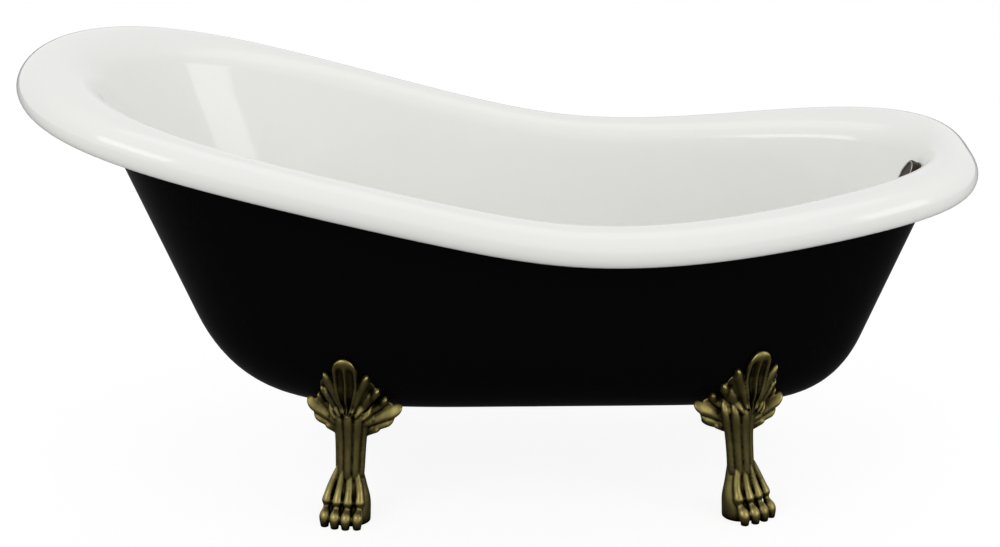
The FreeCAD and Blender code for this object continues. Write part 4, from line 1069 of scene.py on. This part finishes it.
def seen_directly(tree):
    """Share of rays that show the backdrop itself: camera, mirror-like and transmitted ones."""
    path = add_node(tree, "LightPath").outputs
    both = combine(tree, "ADD", path["Is Camera Ray"], path["Is Glossy Ray"])
    return combine(tree, "ADD", both, path["Is Transmission Ray"], clamp=True)


def make_floor():
    """Pale floor that runs out of view; it keeps the tub's shadow on white."""
    bm = bmesh.new()
    bmesh.ops.create_grid(bm, x_segments=8, y_segments=8, size=FLOOR_HALF_WIDTH)
    bmesh.ops.translate(bm, verts=bm.verts, vec=(0, 0, -FLOOR_DROP))
    mesh = bpy.data.meshes.new("floor")
    bm.to_mesh(mesh)
    bm.free()
    floor = bpy.data.objects.new("floor", mesh)
    bpy.context.scene.collection.objects.link(floor)
    material, tree = new_material("Studio floor")[:2]
    matt = add_node(tree, "BsdfDiffuse", {"Color": rgba(linear("#EDEDED"))})
    camera_ray = add_node(tree, "LightPath").outputs["Is Camera Ray"]
    strength = combine(tree, "MULTIPLY", camera_ray, FLOOR_GLOW)
    glow = add_node(tree, "Emission", {"Color": WHITE, "Strength": strength})
    cover = combine(tree, "MULTIPLY", seen_directly(tree), FLOOR_COVER)
    lifted = add_node(tree, "MixShader", {"Fac": cover, 1: matt.outputs[0], 2: glow.outputs[0]})
    add_node(tree, "OutputMaterial", {"Surface": lifted.outputs[0]})
    mesh.materials.append(material)


def light_world():
    """White all round for the camera and for reflections, softer as a light."""
    world = bpy.data.worlds.new("Studio")
    bpy.context.scene.world = world
    world.use_nodes = True
    tree = world.node_tree
    tree.nodes.clear()
    strength = remap(tree, seen_directly(tree), WORLD_LIGHT, 1.0)
    sky = add_node(tree, "Background", {"Color": WHITE, "Strength": strength})
    add_node(tree, "OutputWorld", {"Surface": sky.outputs[0]})


def place_lamp(name, spot, aim, size, power):
    """Soft area lamp that points at the aim."""
    lamp = bpy.data.lights.new(name, "AREA")
    lamp.shape = "RECTANGLE"
    lamp.size, lamp.size_y = size
    lamp.energy = power
    holder = bpy.data.objects.new(name, lamp)
    holder.location = spot
    holder.rotation_euler = (aim - Vector(spot)).to_track_quat("-Z", "Y").to_euler()
    bpy.context.scene.collection.objects.link(holder)


def place_camera(scene, settings, aim):
    camera = bpy.data.cameras.new("camera")
    camera.lens = settings.lens
    camera.sensor_width = 36.0
    camera.clip_end = 60.0
    holder = bpy.data.objects.new("camera", camera)
    turn, lift = settings.azimuth, settings.elevation
    level = math.cos(lift)
    back = Vector((math.sin(turn) * level, -math.cos(turn) * level, math.sin(lift)))
    holder.location = aim + back * settings.distance
    holder.rotation_euler = (-back).to_track_quat("-Z", "Y").to_euler()
    scene.collection.objects.link(holder)
    scene.camera = holder


class BATHTUB_PT_pieces(bpy.types.Panel):
    """Pieces of the bathtub and their sizes"""

    bl_idname = "BATHTUB_PT_pieces"
    bl_label = "Bathtub"
    bl_space_type = "VIEW_3D"
    bl_region_type = "UI"
    bl_category = "Bathtub"

    def draw(self, context):
        layout = self.layout
        for operator in OPERATORS:
            layout.operator(operator.bl_idname)
        for name in SETTINGS:
            settings = getattr(context.scene, name)
            for key in settings.__annotations__:
                layout.prop(settings, key)


OPERATORS = (BATHTUB_OT_basin, BATHTUB_OT_skirt, BATHTUB_OT_feet, BATHTUB_OT_drain,
             BATHTUB_OT_knob, BATHTUB_OT_finishes, BATHTUB_OT_stage)
SETTINGS = {"tub_settings": TubSettings, "foot_settings": FootSettings,
            "tub_finish": FinishSettings, "stage_settings": StageSettings}


def register():
    for group in (*SETTINGS.values(), *OPERATORS, BATHTUB_PT_pieces):
        bpy.utils.register_class(group)
    for name, group in SETTINGS.items():
        setattr(bpy.types.Scene, name, PointerProperty(type=group))


def unregister():
    for name in SETTINGS:
        delattr(bpy.types.Scene, name)
    for group in (BATHTUB_PT_pieces, *reversed(OPERATORS), *SETTINGS.values()):
        bpy.utils.unregister_class(group)


def main():
    register()
    bpy.ops.bathtub.basin()
    bpy.ops.bathtub.skirt()
    bpy.ops.bathtub.feet()
    bpy.ops.bathtub.drain()
    bpy.ops.bathtub.knob()
    bpy.ops.bathtub.finishes()
    bpy.ops.bathtub.stage()


if __name__ == "__main__":
    main()
